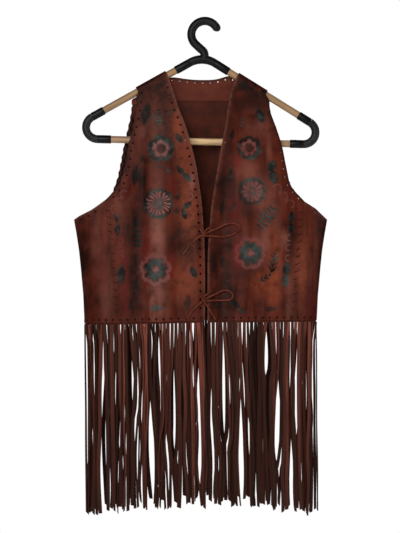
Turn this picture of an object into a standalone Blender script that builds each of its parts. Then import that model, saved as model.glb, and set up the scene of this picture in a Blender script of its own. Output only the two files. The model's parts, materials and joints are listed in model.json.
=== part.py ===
"""Laced leather vest with a long fringed hem, hung on a hanger of wooden dowels.

Metres, +Z up, the front faces -Y. Left and right are as seen from the front. The origin
is the point inside the top of the hanger's hook where a rail would carry it.
"""

import math
import random
from collections import namedtuple

import bmesh
import bpy
import numpy as np
from mathutils import Vector

# Leather and sewing
LEATHER = 0.0018
SEAM = 0.0003

# Hanger, drawn upright about its own middle and then leaned
HANGER_LEAN = math.radians(1.4)
HANGER_MIDDLE_X = -0.0027
DOWEL_RADIUS = 0.0062
SLEEVE_RADIUS = 0.0073
ARCH_FULLNESS = 1.06
HOOK_ROD_RADIUS = 0.0075
HOOK_ARC_RADIUS = 0.0238
HOOK_ARC_CENTRE_Z = -0.0163
HOOK_TIP_ANGLE = 15.0
HOOK_TIP_ROUNDING = 14.0
HOOK_TIP_RADII = (0.45, 0.80, 0.96, 1.0)
HOOK_BACK_ANGLE = 225.0
HOOK_ARC_STEPS = 15
HOOK_MIDDLE_X = 0.0031
HOOK_STEM = ((-0.0050, -0.0410), (0.0016, -0.0468), (0.0036, -0.0540))
ARCH_TOP_Z = -0.0606
ARCH_RADIUS = 0.0433
ARCH_STEPS = 8
SHOULDER_SLOPE = math.radians(30.5)
SHOULDER_SLEEVE_X = 0.0465
ELBOW_TOP_X = 0.1719
ELBOW_BEND_RADIUS = 0.0209
ELBOW_BEND_CENTRE_X = 0.1817
ELBOW_LOW_X = 0.158
ELBOW_STEPS = 9
BAR_Z = -0.2057
DOWEL_SIDES = 16
PLASTIC_ROUNDING = 3

# Shoulder straps: how far along the dowel, from the sleeve's end, each edge lies
STRAP_INNER = 0.0170
STRAP_OUTER = 0.0765
STRAP_STEP = math.radians(30)
STRAP_RADIUS = (DOWEL_RADIUS + SEAM + LEATHER) / math.cos(STRAP_STEP / 2)
SHOULDER_SEAM_DROP = 0.004

# Body of the vest: a flat tube round the hanging front and back
BODY_MIDDLE_X = -0.0076
DROP_TO_FULL_DEPTH = 0.150
DOWEL_BLEND = 0.030

Girth = namedtuple("Girth", "z half_width front_depth back_depth")
GIRTHS = (
    Girth(-0.5240, 0.2050, 0.052, 0.042),
    Girth(-0.4760, 0.2072, 0.049, 0.039),
    Girth(-0.4230, 0.2120, 0.044, 0.034),
    Girth(-0.3970, 0.2148, 0.041, 0.031),
    Girth(-0.3705, 0.2188, 0.039, 0.029),
    Girth(-0.3440, 0.2234, 0.036, 0.026),
    Girth(-0.2057, 0.2234, 0.033, 0.024),
    Girth(-0.0800, 0.2234, 0.030, 0.022),
)

HemPoint = namedtuple("HemPoint", "x z")
HEM = (
    HemPoint(-0.2120, -0.5255),
    HemPoint(-0.1534, -0.5240),
    HemPoint(0.0000, -0.5200),
    HemPoint(0.1555, -0.5196),
    HemPoint(0.1960, -0.5205),
)

# Edges of the two fronts from the hem up. The corner row is where the side seam meets
# the armhole.
FrontRow = namedtuple("FrontRow", "left_x left_z right_x right_z corner")
LEFT_FRONT = (
    FrontRow(-0.1534, -0.5240, -0.0002, -0.5200, False),
    FrontRow(-0.1587, -0.4675, 0.0000, -0.4675, False),
    FrontRow(-0.1654, -0.3969, -0.0007, -0.3969, False),
    FrontRow(-0.1737, -0.3087, -0.0048, -0.3228, True),
    FrontRow(-0.1525, -0.2840, -0.0099, -0.2840, False),
    FrontRow(-0.1428, -0.2557, -0.0157, -0.2487, False),
    FrontRow(-0.1366, -0.2204, -0.0237, -0.2152, False),
    FrontRow(-0.1296, -0.1869, -0.0351, -0.1763, False),
    FrontRow(-0.1234, -0.1569, -0.0475, -0.1446, False),
    FrontRow(-0.1207, -0.1304, -0.0572, -0.1128, False),
)
RIGHT_FRONT = (
    FrontRow(0.0046, -0.5200, 0.1555, -0.5196, False),
    FrontRow(0.0047, -0.4675, 0.1602, -0.4675, False),
    FrontRow(0.0055, -0.3969, 0.1666, -0.3969, False),
    FrontRow(0.0111, -0.3228, 0.1740, -0.3115, True),
    FrontRow(0.0175, -0.2840, 0.1511, -0.2849, False),
    FrontRow(0.0231, -0.2487, 0.1426, -0.2522, False),
    FrontRow(0.0289, -0.2152, 0.1358, -0.2169, False),
    FrontRow(0.0364, -0.1763, 0.1264, -0.1851, False),
    FrontRow(0.0411, -0.1446, 0.1163, -0.1569, False),
    FrontRow(0.0478, -0.1128, 0.1114, -0.1322, False),
)
FRONT_COLUMNS = 10
FRONT_ROW_STEPS = 2

# Armholes of the back, as half widths about the body's middle
ArmholePoint = namedtuple("ArmholePoint", "half_width z")
BACK_ARMHOLE = (
    ArmholePoint(0.1615, -0.3000),
    ArmholePoint(0.1570, -0.2930),
    ArmholePoint(0.1478, -0.2650),
    ArmholePoint(0.1420, -0.2350),
    ArmholePoint(0.1366, -0.2050),
    ArmholePoint(0.1255, -0.1570),
    ArmholePoint(0.1220, -0.1320),
)
UNDERARM_BACK = (
    ArmholePoint(0.1615, -0.3000),
    ArmholePoint(0.1694, -0.3082),
    ArmholePoint(0.1915, -0.3258),
    ArmholePoint(0.2136, -0.3372),
    ArmholePoint(0.2234, -0.3435),
)
UNDERARM_LEFT = (
    ArmholePoint(0.1661, -0.3087),
    ArmholePoint(0.1915, -0.3260),
    ArmholePoint(0.2136, -0.3370),
    ArmholePoint(0.2234, -0.3435),
)
UNDERARM_RIGHT = (
    ArmholePoint(0.1816, -0.3115),
    ArmholePoint(0.2026, -0.3242),
    ArmholePoint(0.2234, -0.3435),
)
SIDE_COLUMNS = 10
SIDE_CROWDING = 1.5
CENTRE_COLUMNS = 12
BACK_LOWER_ROWS = 5
BACK_UPPER_ROWS = 6
CORNER_ANGLE = math.pi - math.asin(BACK_ARMHOLE[0].half_width / UNDERARM_BACK[-1].half_width)

# Yoke across the back's shoulders
YOKE_SEAM_Z = -0.132
YOKE_SEAM_FALL = 0.008
NECK_LOW_X = -0.0014
NECK_LOW_Z = -0.0957
NECK_COLUMNS = 8
YOKE_STRAP_COLUMNS = 4
YOKE_ROWS = 3

# Folds that the hanging leather takes: lift is outwards, and a trough is negative
Fold = namedtuple("Fold", "x_top x_bottom z_top z_bottom lift half_width")
FRONT_FOLDS = (
    Fold(-0.112, -0.118, -0.160, -0.640, -0.0050, 0.016),
    Fold(-0.080, -0.070, -0.170, -0.680, 0.0040, 0.022),
    Fold(-0.018, -0.010, -0.230, -0.680, 0.0030, 0.014),
    Fold(0.036, 0.022, -0.210, -0.640, -0.0045, 0.016),
    Fold(0.080, 0.072, -0.170, -0.680, 0.0040, 0.020),
    Fold(0.116, 0.122, -0.260, -0.580, -0.0040, 0.012),
    Fold(0.136, 0.140, -0.300, -0.660, 0.0025, 0.010),
    Fold(-0.184, -0.178, -0.340, -0.680, 0.0025, 0.015),
    Fold(0.176, 0.170, -0.340, -0.660, -0.0025, 0.012),
)
BACK_FOLDS = (
    Fold(-0.096, -0.110, -0.170, -0.680, 0.0040, 0.022),
    Fold(-0.046, -0.052, -0.220, -0.640, -0.0045, 0.018),
    Fold(0.004, 0.010, -0.160, -0.680, 0.0030, 0.020),
    Fold(0.062, 0.070, -0.200, -0.640, -0.0040, 0.017),
    Fold(0.110, 0.122, -0.230, -0.680, 0.0035, 0.020),
)
FOLD_FADE = 0.25

# Fringe: cut strands on a narrow strip under the hem
STRIP_HEIGHT = 0.007
STRAND_PITCH = 0.0068
STRAND_THICKNESS = 0.0016
STRAND_WIDTH_LEAST = 0.70
STRAND_WIDTH_MOST = 0.93
STRAND_LAYER_STEP = 0.0040
STRAND_LAYERS = (-2, 0, -1)
STRAND_LEVELS = (0.12, 0.40, 0.70, 1.0)
STRAND_DRIFT = 0.0035
DRIFT_GROWTH = 1.5
STRAND_TWIST = math.radians(22)
STRAND_RAGGED = 0.005
STRAND_SLANT = 0.003
FRINGE_END_Z = -0.838
FRINGE_SIDE_FALL = 0.021
FRINGE_SWAY = 0.003
FRINGE_SEED = 11
HEM_TURN = 230
HEM_STEP = 0.01
FACES_DOWN = 0.9

# Places where the strands part and the far side shows through
Parting = namedtuple("Parting", "x z_top z_bottom width")
PARTINGS = (
    Parting(-0.178, -0.640, -0.880, 0.006),
    Parting(-0.130, -0.540, -0.690, 0.005),
    Parting(-0.098, -0.640, -0.880, 0.011),
    Parting(-0.076, -0.640, -0.820, 0.007),
    Parting(-0.066, -0.740, -0.900, 0.008),
    Parting(-0.011, -0.530, -0.800, 0.005),
    Parting(0.034, -0.550, -0.800, 0.009),
    Parting(0.062, -0.620, -0.840, 0.008),
    Parting(0.110, -0.540, -0.620, 0.006),
    Parting(0.128, -0.640, -0.760, 0.008),
    Parting(0.134, -0.730, -0.880, 0.006),
    Parting(0.165, -0.520, -0.880, 0.005),
)
PARTING_REACH = 0.014

# Thong ties: half bows that hold the fronts together
THONG_RADIUS = 0.0012
THONG_STEP = 0.006
THONG_ROUNDING = 2
KNOT_RADIUS = 0.0036
KNOT_OFF = KNOT_RADIUS + SEAM
KNOT_SIDES = 12
KNOT_RINGS = 8

# A thong's route: x and z on the front, and how far its middle lies off the leather
ThongPoint = namedtuple("ThongPoint", "x z off")
UPPER_KNOT = ThongPoint(-0.0016, -0.3710, KNOT_OFF)
UPPER_LACE = (
    ThongPoint(-0.0090, -0.3610, 0.0016),
    ThongPoint(-0.0060, -0.3650, 0.0024),
    ThongPoint(-0.0016, -0.3700, KNOT_OFF),
    ThongPoint(-0.0004, -0.3650, 0.0034),
    ThongPoint(0.0075, -0.3580, 0.0022),
    ThongPoint(0.0131, -0.3542, 0.0016),
)
UPPER_LOOP = (
    ThongPoint(0.0016, -0.3688, KNOT_OFF),
    ThongPoint(0.0070, -0.3656, 0.0042),
    ThongPoint(0.0191, -0.3605, 0.0044),
    ThongPoint(0.0337, -0.3535, 0.0048),
    ThongPoint(0.0443, -0.3512, 0.0046),
    ThongPoint(0.0544, -0.3519, 0.0040),
    ThongPoint(0.0612, -0.3588, 0.0034),
    ThongPoint(0.0558, -0.3657, 0.0030),
    ThongPoint(0.0429, -0.3719, 0.0028),
    ThongPoint(0.0291, -0.3742, 0.0028),
    ThongPoint(0.0154, -0.3732, 0.0032),
    ThongPoint(0.0019, -0.3727, KNOT_OFF),
)
UPPER_END = (
    ThongPoint(-0.0053, -0.3722, KNOT_OFF),
    ThongPoint(-0.0108, -0.3743, 0.0030),
    ThongPoint(-0.0169, -0.3795, 0.0022),
    ThongPoint(-0.0252, -0.3880, 0.0018),
    ThongPoint(-0.0298, -0.3941, 0.0018),
    ThongPoint(-0.0390, -0.4056, 0.0018),
)
LOWER_KNOT = ThongPoint(-0.0019, -0.4841, KNOT_OFF)
LOWER_LACE = (
    ThongPoint(-0.0088, -0.4760, 0.0016),
    ThongPoint(-0.0062, -0.4790, 0.0024),
    ThongPoint(-0.0019, -0.4831, KNOT_OFF),
    ThongPoint(-0.0008, -0.4782, 0.0034),
    ThongPoint(0.0056, -0.4722, 0.0022),
    ThongPoint(0.0108, -0.4692, 0.0016),
)
LOWER_LOOP = (
    ThongPoint(0.0015, -0.4821, KNOT_OFF),
    ThongPoint(0.0080, -0.4784, 0.0042),
    ThongPoint(0.0176, -0.4738, 0.0044),
    ThongPoint(0.0291, -0.4684, 0.0046),
    ThongPoint(0.0397, -0.4677, 0.0042),
    ThongPoint(0.0468, -0.4724, 0.0036),
    ThongPoint(0.0482, -0.4784, 0.0032),
    ThongPoint(0.0433, -0.4834, 0.0030),
    ThongPoint(0.0328, -0.4845, 0.0028),
    ThongPoint(0.0176, -0.4848, 0.0032),
    ThongPoint(0.0016, -0.4858, KNOT_OFF),
)
LOWER_END_LEFT = (
    ThongPoint(-0.0049, -0.4866, KNOT_OFF),
    ThongPoint(-0.0108, -0.4916, 0.0030),
    ThongPoint(-0.0192, -0.4998, 0.0020),
    ThongPoint(-0.0261, -0.5083, 0.0020),
    ThongPoint(-0.0314, -0.5166, 0.0020),
)
LOWER_END_RIGHT = (
    ThongPoint(-0.0006, -0.4878, KNOT_OFF),
    ThongPoint(0.0030, -0.4930, 0.0032),
    ThongPoint(0.0092, -0.5029, 0.0024),
    ThongPoint(0.0138, -0.5106, 0.0022),
    ThongPoint(0.0184, -0.5182, 0.0022),
)

# Meshes: where shading breaks, and how near points are welded
SHARP_ANGLE = math.radians(40)
WELD = 1e-6

# Finishes: colour, roughness
Finish = namedtuple("Finish", "colour roughness")
FINISHES = {
    "leather_front": Finish((0.110, 0.032, 0.018), 0.48),
    "leather_back": Finish((0.075, 0.022, 0.013), 0.50),
    "leather_fringe": Finish((0.070, 0.020, 0.012), 0.52),
    "leather_thong": Finish((0.150, 0.045, 0.024), 0.50),
    "hanger_plastic": Finish((0.012, 0.012, 0.013), 0.38),
    "hanger_wood": Finish((0.430, 0.265, 0.120), 0.50),
}


def smoothstep(value):
    value = min(max(value, 0.0), 1.0)
    return value * value * (3.0 - 2.0 * value)


def lerp(start, end, share):
    return start + (end - start) * share


def from_table(rows, key, value, at):
    """Read a column of a table at a height or place between its rows."""
    ordered = sorted(rows, key=lambda row: getattr(row, key))
    places = [getattr(row, key) for row in ordered]
    return float(np.interp(at, places, [getattr(row, value) for row in ordered]))


def curve_point(before, start, end, after, share):
    """A point between start and end on the smooth curve through four points."""
    return 0.5 * (
        2 * start + (end - before) * share
        + (2 * before - 5 * start + 4 * end - after) * share ** 2
        + (3 * start - before - 3 * end + after) * share ** 3
    )


def smooth_line(points, steps=None, spacing=None):
    """A smooth curve through points, in equal steps a stretch or about a spacing apart."""
    points = [Vector(point) for point in points]
    ends = [2 * points[0] - points[1]] + points + [2 * points[-1] - points[-2]]
    line = [points[0]]
    for before, start, end, after in zip(ends, ends[1:], ends[2:], ends[3:]):
        count = steps or max(1, round((end - start).length / spacing))
        for index in range(1, count + 1):
            line.append(curve_point(before, start, end, after, index / count))
    return line


# The hanger's frame

def leaned(x, z):
    """A point of the upright hanger, moved to where it hangs."""
    x += HANGER_MIDDLE_X
    return Vector((
        x * math.cos(HANGER_LEAN) + z * math.sin(HANGER_LEAN),
        0.0,
        -x * math.sin(HANGER_LEAN) + z * math.cos(HANGER_LEAN),
    ))


def dowel_z(x):
    """Height of the shoulder dowel's middle on the upright hanger."""
    ridge = ARCH_TOP_Z - ARCH_RADIUS + ARCH_RADIUS / math.cos(SHOULDER_SLOPE)
    return ridge - abs(x) * math.tan(SHOULDER_SLOPE)


def dowel_frame(side):
    """Start at the sleeve, direction outwards and upward normal of a shoulder dowel."""
    start = leaned(side * SHOULDER_SLEEVE_X, dowel_z(SHOULDER_SLEEVE_X))
    end = leaned(side * ELBOW_TOP_X, dowel_z(ELBOW_TOP_X))
    along = (end - start).normalized()
    normal = Vector((-along.z, 0.0, along.x)) * side
    return start, along, normal


# The hanging leather

def wall_depth(x, z, facing):
    """Depth of the outer face in front of (facing -1) or behind (+1) the hanger."""
    half_width = from_table(GIRTHS, "z", "half_width", z)
    column = "front_depth" if facing < 0 else "back_depth"
    across = min(abs(x - BODY_MIDDLE_X) / half_width, 1.0)
    roundness = math.sqrt(1.0 - across * across)
    ring = from_table(GIRTHS, "z", column, z) * roundness
    dowel = dowel_z(math.hypot(x - HANGER_MIDDLE_X, DOWEL_BLEND))
    opened = smoothstep((dowel - z) / DROP_TO_FULL_DEPTH)
    return lerp(STRAP_RADIUS, ring, opened) + roundness * fold_lift(x, z, facing)


def fold_lift(x, z, facing):
    total = 0.0
    for fold in FRONT_FOLDS if facing < 0 else BACK_FOLDS:
        along = (fold.z_top - z) / (fold.z_top - fold.z_bottom)
        fade = smoothstep(along / FOLD_FADE) * smoothstep((1.0 - along) / FOLD_FADE)
        middle = lerp(fold.x_top, fold.x_bottom, along)
        total += fold.lift * fade * math.exp(-((x - middle) / fold.half_width) ** 2)
    return total


def on_wall(x, z, facing):
    return Vector((x, facing * wall_depth(x, z, facing), z))


def hem_z(x):
    return from_table(HEM, "x", "z", x)


def on_ring(angle, z):
    """A point round the body, from the front's middle (0) by the right to the back."""
    half_width = from_table(GIRTHS, "z", "half_width", z)
    facing = -1 if math.cos(angle) > 0 else 1
    return on_wall(BODY_MIDDLE_X + half_width * math.sin(angle), z, facing)


# Building helpers

def add_material(finish_name):
    finish = FINISHES[finish_name]
    material = bpy.data.materials.new(finish_name)
    material.use_nodes = True
    shader = material.node_tree.nodes["Principled BSDF"]
    shader.inputs["Base Color"].default_value = (*finish.colour, 1.0)
    shader.inputs["Roughness"].default_value = finish.roughness
    shader.inputs["Metallic"].default_value = 0.0
    return material


def add_object(name, data, collection, material):
    item = bpy.data.objects.new(name, data)
    data.materials.append(material)
    collection.objects.link(item)
    return item


def add_mesh(name, bm, collection, material):
    mesh = bpy.data.meshes.new(name)
    bm.to_mesh(mesh)
    bm.free()
    mesh.shade_smooth()
    mesh.set_sharp_from_angle(angle=SHARP_ANGLE)
    return add_object(name, mesh, collection, material)


def add_grid(columns, rows, place):
    """A grid of leather faces, each corner placed by its column and row."""
    bm = bmesh.new()
    bmesh.ops.create_grid(bm, x_segments=columns, y_segments=rows, size=0.5)
    for vert in bm.verts:
        column = round((vert.co.x + 0.5) * columns)
        row = round((vert.co.y + 0.5) * rows)
        vert.co = place(column, row)
    return bm


def add_panel(name, bm, collection, material):
    """Give a leather face its thickness, inwards."""
    bm.normal_update()
    panel = add_mesh(name, bm, collection, material)
    wall = panel.modifiers.new("leather", "SOLIDIFY")
    wall.thickness = LEATHER
    wall.offset = -1.0
    return panel


def add_tube(name, points, radius, collection, material, rounding, radii=None):
    curve = bpy.data.curves.new(name, "CURVE")
    curve.dimensions = "3D"
    curve.bevel_depth = radius
    curve.bevel_resolution = rounding
    curve.use_fill_caps = True
    spline = curve.splines.new("POLY")
    spline.points.add(len(points) - 1)
    for index, (target, point) in enumerate(zip(spline.points, points)):
        target.co = (*point, 1.0)
        target.radius = radii[index] if radii else 1.0
    return add_object(name, curve, collection, material)


def as_mesh(item):
    """Replace a curve object by its evaluated mesh, with the caps welded on."""
    graph = bpy.context.evaluated_depsgraph_get()
    mesh = bpy.data.meshes.new_from_object(item.evaluated_get(graph))
    bm = bmesh.new()
    bm.from_mesh(mesh)
    bmesh.ops.remove_doubles(bm, verts=bm.verts[:], dist=WELD)
    bmesh.ops.recalc_face_normals(bm, faces=bm.faces[:])
    bm.to_mesh(mesh)
    bm.free()
    name = item.name
    collection = item.users_collection[0]
    matrix = item.matrix_world.copy()
    bpy.data.objects.remove(item)
    solid = bpy.data.objects.new(name, mesh)
    solid.matrix_world = matrix
    collection.objects.link(solid)
    return solid


def join_with(item, tool):
    """Fuse a guide solid into an object."""
    tool.hide_render = True
    tool.display_type = "WIRE"
    union = item.modifiers.new(tool.name, "BOOLEAN")
    union.operation = "UNION"
    union.object = tool


# Hanger pieces

def arc_points(centre_x, centre_z, radius, start, end, count):
    angles = [math.radians(lerp(start, end, index / count)) for index in range(count + 1)]
    return [(centre_x + radius * math.cos(a), centre_z + radius * math.sin(a)) for a in angles]


def build_hook(parts, guides, material):
    """Hook, arch and the two shoulder sleeves, moulded as one."""
    slope = math.degrees(SHOULDER_SLOPE)
    arch = arc_points(0.0, ARCH_TOP_Z - ARCH_RADIUS, ARCH_RADIUS, 90 + slope, 90 - slope,
                      ARCH_STEPS)
    sleeve_z = dowel_z(SHOULDER_SLEEVE_X)
    route = [(-SHOULDER_SLEEVE_X, sleeve_z), *arch, (SHOULDER_SLEEVE_X, sleeve_z)]
    radii = [1.0, 1.0, *[ARCH_FULLNESS] * (len(arch) - 2), 1.0, 1.0]
    points = [leaned(*point) for point in route]
    hook = as_mesh(add_tube("hanger_hook", points, SLEEVE_RADIUS, parts, material,
                            PLASTIC_ROUNDING, radii))

    round_end = HOOK_TIP_ANGLE + HOOK_TIP_ROUNDING
    tip = arc_points(HOOK_MIDDLE_X, HOOK_ARC_CENTRE_Z, HOOK_ARC_RADIUS, HOOK_TIP_ANGLE,
                     round_end, len(HOOK_TIP_RADII) - 1)
    curl = arc_points(HOOK_MIDDLE_X, HOOK_ARC_CENTRE_Z, HOOK_ARC_RADIUS, round_end,
                      HOOK_BACK_ANGLE, HOOK_ARC_STEPS)[1:]
    route = [*tip, *curl, *HOOK_STEM, (HOOK_MIDDLE_X, ARCH_TOP_Z)]
    radii = [*HOOK_TIP_RADII] + [1.0] * (len(route) - len(tip))
    points = [leaned(*point) for point in route]
    rod = as_mesh(add_tube("hook_rod", points, HOOK_ROD_RADIUS, guides, material,
                           PLASTIC_ROUNDING, radii))
    join_with(hook, rod)


def build_elbow(name, side, parts, material):
    """Moulded corner that takes a shoulder dowel and the bar."""
    slope = math.degrees(SHOULDER_SLOPE)
    bend = arc_points(ELBOW_BEND_CENTRE_X, BAR_Z + ELBOW_BEND_RADIUS, ELBOW_BEND_RADIUS,
                      90 - slope, -90, ELBOW_STEPS)
    route = [(ELBOW_TOP_X, dowel_z(ELBOW_TOP_X)), *bend, (ELBOW_LOW_X, BAR_Z)]
    points = [leaned(side * x, z) for x, z in route]
    add_tube(name, points, SLEEVE_RADIUS, parts, material, PLASTIC_ROUNDING)


def build_dowel(name, start, end, parts, material):
    """Round wooden dowel that stops just short of the sleeves at its two ends."""
    along = end - start
    bm = bmesh.new()
    bmesh.ops.create_cone(
        bm, cap_ends=True, segments=DOWEL_SIDES, radius1=DOWEL_RADIUS, radius2=DOWEL_RADIUS,
        depth=along.length - 2 * SEAM,
    )
    turn = along.to_track_quat("Z", "Y")
    dowel = add_mesh(name, bm, parts, material)
    dowel.rotation_mode = "QUATERNION"
    dowel.rotation_quaternion = turn
    dowel.location = (start + end) / 2


def build_hanger(parts, guides):
    plastic = add_material("hanger_plastic")
    wood = add_material("hanger_wood")
    build_hook(parts, guides, plastic)
    for label, side in (("left", -1), ("right", 1)):
        build_elbow("hanger_elbow_" + label, side, parts, plastic)
        start = leaned(side * SHOULDER_SLEEVE_X, dowel_z(SHOULDER_SLEEVE_X))
        end = leaned(side * ELBOW_TOP_X, dowel_z(ELBOW_TOP_X))
        build_dowel("dowel_" + label, start, end, parts, wood)
    build_dowel("dowel_bar", leaned(-ELBOW_LOW_X, BAR_Z), leaned(ELBOW_LOW_X, BAR_Z), parts, wood)


# Vest pieces

def strap_edge_points(side):
    """The strap's inner and outer edges at the height of the dowel's middle."""
    start, along, normal = dowel_frame(side)
    return start + along * STRAP_INNER, start + along * STRAP_OUTER, normal


def front_edges(rows, side):
    """Left and right edge points of a front, from the hem up to the dowel."""
    inner, outer = strap_edge_points(side)[:2]
    left_top, right_top = (outer, inner) if side < 0 else (inner, outer)
    corner = next(index for index, row in enumerate(rows) if row.corner)
    edges = []
    for column in ("left", "right"):
        top = left_top if column == "left" else right_top
        line = [(getattr(row, column + "_x"), 0.0, getattr(row, column + "_z")) for row in rows]
        lower = smooth_line(line[:corner + 1], steps=FRONT_ROW_STEPS)
        upper = smooth_line(line[corner:] + [tuple(top)], steps=FRONT_ROW_STEPS)
        edges.append(lower + upper[1:])
    return edges


def strap_rows():
    """Turns round the dowel from its front to its back."""
    count = round(math.pi / STRAP_STEP)
    return [math.pi / 2 - STRAP_STEP * index for index in range(1, count + 1)]


def build_front(name, rows, side, parts, material):
    """One front, from the hem over the dowel to the shoulder seam behind it."""
    left_edge, right_edge = front_edges(rows, side)
    normal = dowel_frame(side)[2]
    turns = strap_rows()
    flat_rows = len(left_edge) - 1

    def place(column, row):
        share = column / FRONT_COLUMNS
        flat_row = min(row, flat_rows)
        point = left_edge[flat_row].lerp(right_edge[flat_row], share)
        if row < flat_rows:
            if row == 0:
                point.z = hem_z(point.x)
            return on_wall(point.x, point.z, -1)
        if row == flat_rows:
            return point + Vector((0.0, -STRAP_RADIUS, 0.0))
        over = row - flat_rows - 1
        if over < len(turns):
            rise = normal * STRAP_RADIUS * math.cos(turns[over])
            return point + rise + Vector((0.0, -STRAP_RADIUS * math.sin(turns[over]), 0.0))
        return point - normal * SHOULDER_SEAM_DROP + Vector((0.0, STRAP_RADIUS, 0.0))

    bm = add_grid(FRONT_COLUMNS, flat_rows + len(turns) + 1, place)
    add_panel(name, bm, parts, material)


def seam_x(rows, z):
    """The side seam of a front at a height: its outer edge below the armhole."""
    corner = next(index for index, row in enumerate(rows) if row.corner)
    column = "left" if rows is LEFT_FRONT else "right"
    return from_table(rows[:corner + 1], column + "_z", column + "_x", z)


def yoke_seam_z(x):
    across = (x - BODY_MIDDLE_X) / BACK_ARMHOLE[-1].half_width
    return YOKE_SEAM_Z - YOKE_SEAM_FALL * across * across


def underarm_z(angle):
    """Top edge of the side under the arm, by the angle round the body."""
    half_width = abs(math.sin(angle)) * UNDERARM_BACK[-1].half_width
    if math.cos(angle) < 0:
        table = UNDERARM_BACK
    else:
        table = UNDERARM_RIGHT if math.sin(angle) > 0 else UNDERARM_LEFT
    return from_table(table, "half_width", "z", half_width)


def side_angle(side, share, z):
    """Angle round the body between the front's seam (share 0) and the back (share 1)."""
    rows = RIGHT_FRONT if side > 0 else LEFT_FRONT
    half_width = from_table(GIRTHS, "z", "half_width", z)
    seam = abs(seam_x(rows, z) + side * SEAM - BODY_MIDDLE_X) / half_width
    ahead = math.pi / 2 - math.asin(seam)
    behind = CORNER_ANGLE - math.pi / 2
    spread = 2.0 * share - 1.0
    reach = behind if spread > 0 else ahead
    return side * (math.pi / 2 + math.copysign(abs(spread) ** SIDE_CROWDING, spread) * reach)


def build_back(parts, material):
    """The back, carried round both sides to the seams of the fronts."""
    columns = 2 * SIDE_COLUMNS + CENTRE_COLUMNS
    rows = BACK_LOWER_ROWS + BACK_UPPER_ROWS
    corner = BACK_ARMHOLE[0]

    def side_place(side, share, row):
        rise = row / BACK_LOWER_ROWS
        angle = side_angle(side, share, lerp(HEM[0].z, corner.z, rise))
        low = hem_z(on_ring(angle, HEM[0].z).x)
        z = lerp(low, underarm_z(angle), rise)
        return on_ring(side_angle(side, share, z), z)

    def centre_place(share, row):
        across = lerp(1.0, -1.0, share)
        if row <= BACK_LOWER_ROWS:
            angle = math.pi - math.asin(across * math.sin(CORNER_ANGLE))
            low = hem_z(on_ring(angle, HEM[0].z).x)
            return on_ring(angle, lerp(low, corner.z, row / BACK_LOWER_ROWS))
        rise = (row - BACK_LOWER_ROWS) / BACK_UPPER_ROWS
        level = lerp(corner.z, YOKE_SEAM_Z, rise)
        x = BODY_MIDDLE_X + across * from_table(BACK_ARMHOLE, "z", "half_width", level)
        return on_wall(x, lerp(corner.z, yoke_seam_z(x) - SEAM, rise), 1)

    def place(column, row):
        if column < SIDE_COLUMNS:
            return side_place(1, column / SIDE_COLUMNS, min(row, BACK_LOWER_ROWS))
        if column > SIDE_COLUMNS + CENTRE_COLUMNS:
            share = (columns - column) / SIDE_COLUMNS
            return side_place(-1, share, min(row, BACK_LOWER_ROWS))
        return centre_place((column - SIDE_COLUMNS) / CENTRE_COLUMNS, row)

    bm = add_grid(columns, rows, lambda column, row: Vector((column, row, 0.0)))
    beside = [
        face for face in bm.faces
        if face.calc_center_median().y > BACK_LOWER_ROWS
        and not SIDE_COLUMNS < face.calc_center_median().x < SIDE_COLUMNS + CENTRE_COLUMNS
    ]
    bmesh.ops.delete(bm, geom=beside, context="FACES")
    for vert in bm.verts:
        vert.co = place(round(vert.co.x), round(vert.co.y))
    add_panel("back_panel", bm, parts, material)


def yoke_top():
    """Top edge of the yoke from the right armhole to the left, by its columns."""
    line = []
    for side in (1, -1):
        inner, outer, normal = strap_edge_points(side)
        drop = normal * (SHOULDER_SEAM_DROP + SEAM)
        shares = [index / YOKE_STRAP_COLUMNS for index in range(YOKE_STRAP_COLUMNS + 1)]
        strap = [outer.lerp(inner, share) - drop for share in shares]
        line.append(strap if side > 0 else strap[::-1])
    right, left = line
    start, end = right[-1], left[0]
    neck = []
    for index in range(1, NECK_COLUMNS):
        x = lerp(start.x, end.x, index / NECK_COLUMNS)
        edge = end if x < NECK_LOW_X else start
        sweep = 1.0 - ((x - NECK_LOW_X) / (edge.x - NECK_LOW_X)) ** 2
        neck.append(Vector((x, 0.0, lerp(edge.z, NECK_LOW_Z, sweep))))
    return right + neck + left


def build_yoke(parts, material):
    """Yoke that joins the back to the shoulder seams and edges the back of the neck."""
    top = yoke_top()
    reach = BACK_ARMHOLE[-1].half_width

    def place(column, row):
        high = top[column]
        share = (top[0].x - high.x) / (top[0].x - top[-1].x)
        low_x = lerp(BODY_MIDDLE_X + reach, BODY_MIDDLE_X - reach, share)
        x = lerp(low_x, high.x, row / YOKE_ROWS)
        z = lerp(yoke_seam_z(low_x), high.z, row / YOKE_ROWS)
        return on_wall(x, z, 1)

    bm = add_grid(len(top) - 1, YOKE_ROWS, place)
    add_panel("back_yoke", bm, parts, material)


# Fringe

def hem_line():
    """Angles round the hem and the distance along it to each of them."""
    angles = np.radians(np.arange(-HEM_TURN, HEM_TURN + 1))
    points = [on_ring(angle, HEM[0].z) for angle in angles]
    steps = [(end - start).length for start, end in zip(points, points[1:])]
    return angles, np.concatenate(([0.0], np.cumsum(steps)))


def parting_push(x, z):
    """How far sideways the strands at a place are pushed by the partings."""
    push = 0.0
    for parting in PARTINGS:
        along = (parting.z_top - z) / (parting.z_top - parting.z_bottom)
        if 0.0 < along < 1.0:
            away = x - parting.x
            swell = 0.5 * parting.width * math.sin(math.pi * along) ** 0.5
            push += math.copysign(swell * math.exp(-abs(away) / PARTING_REACH), away)
    return push


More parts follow.
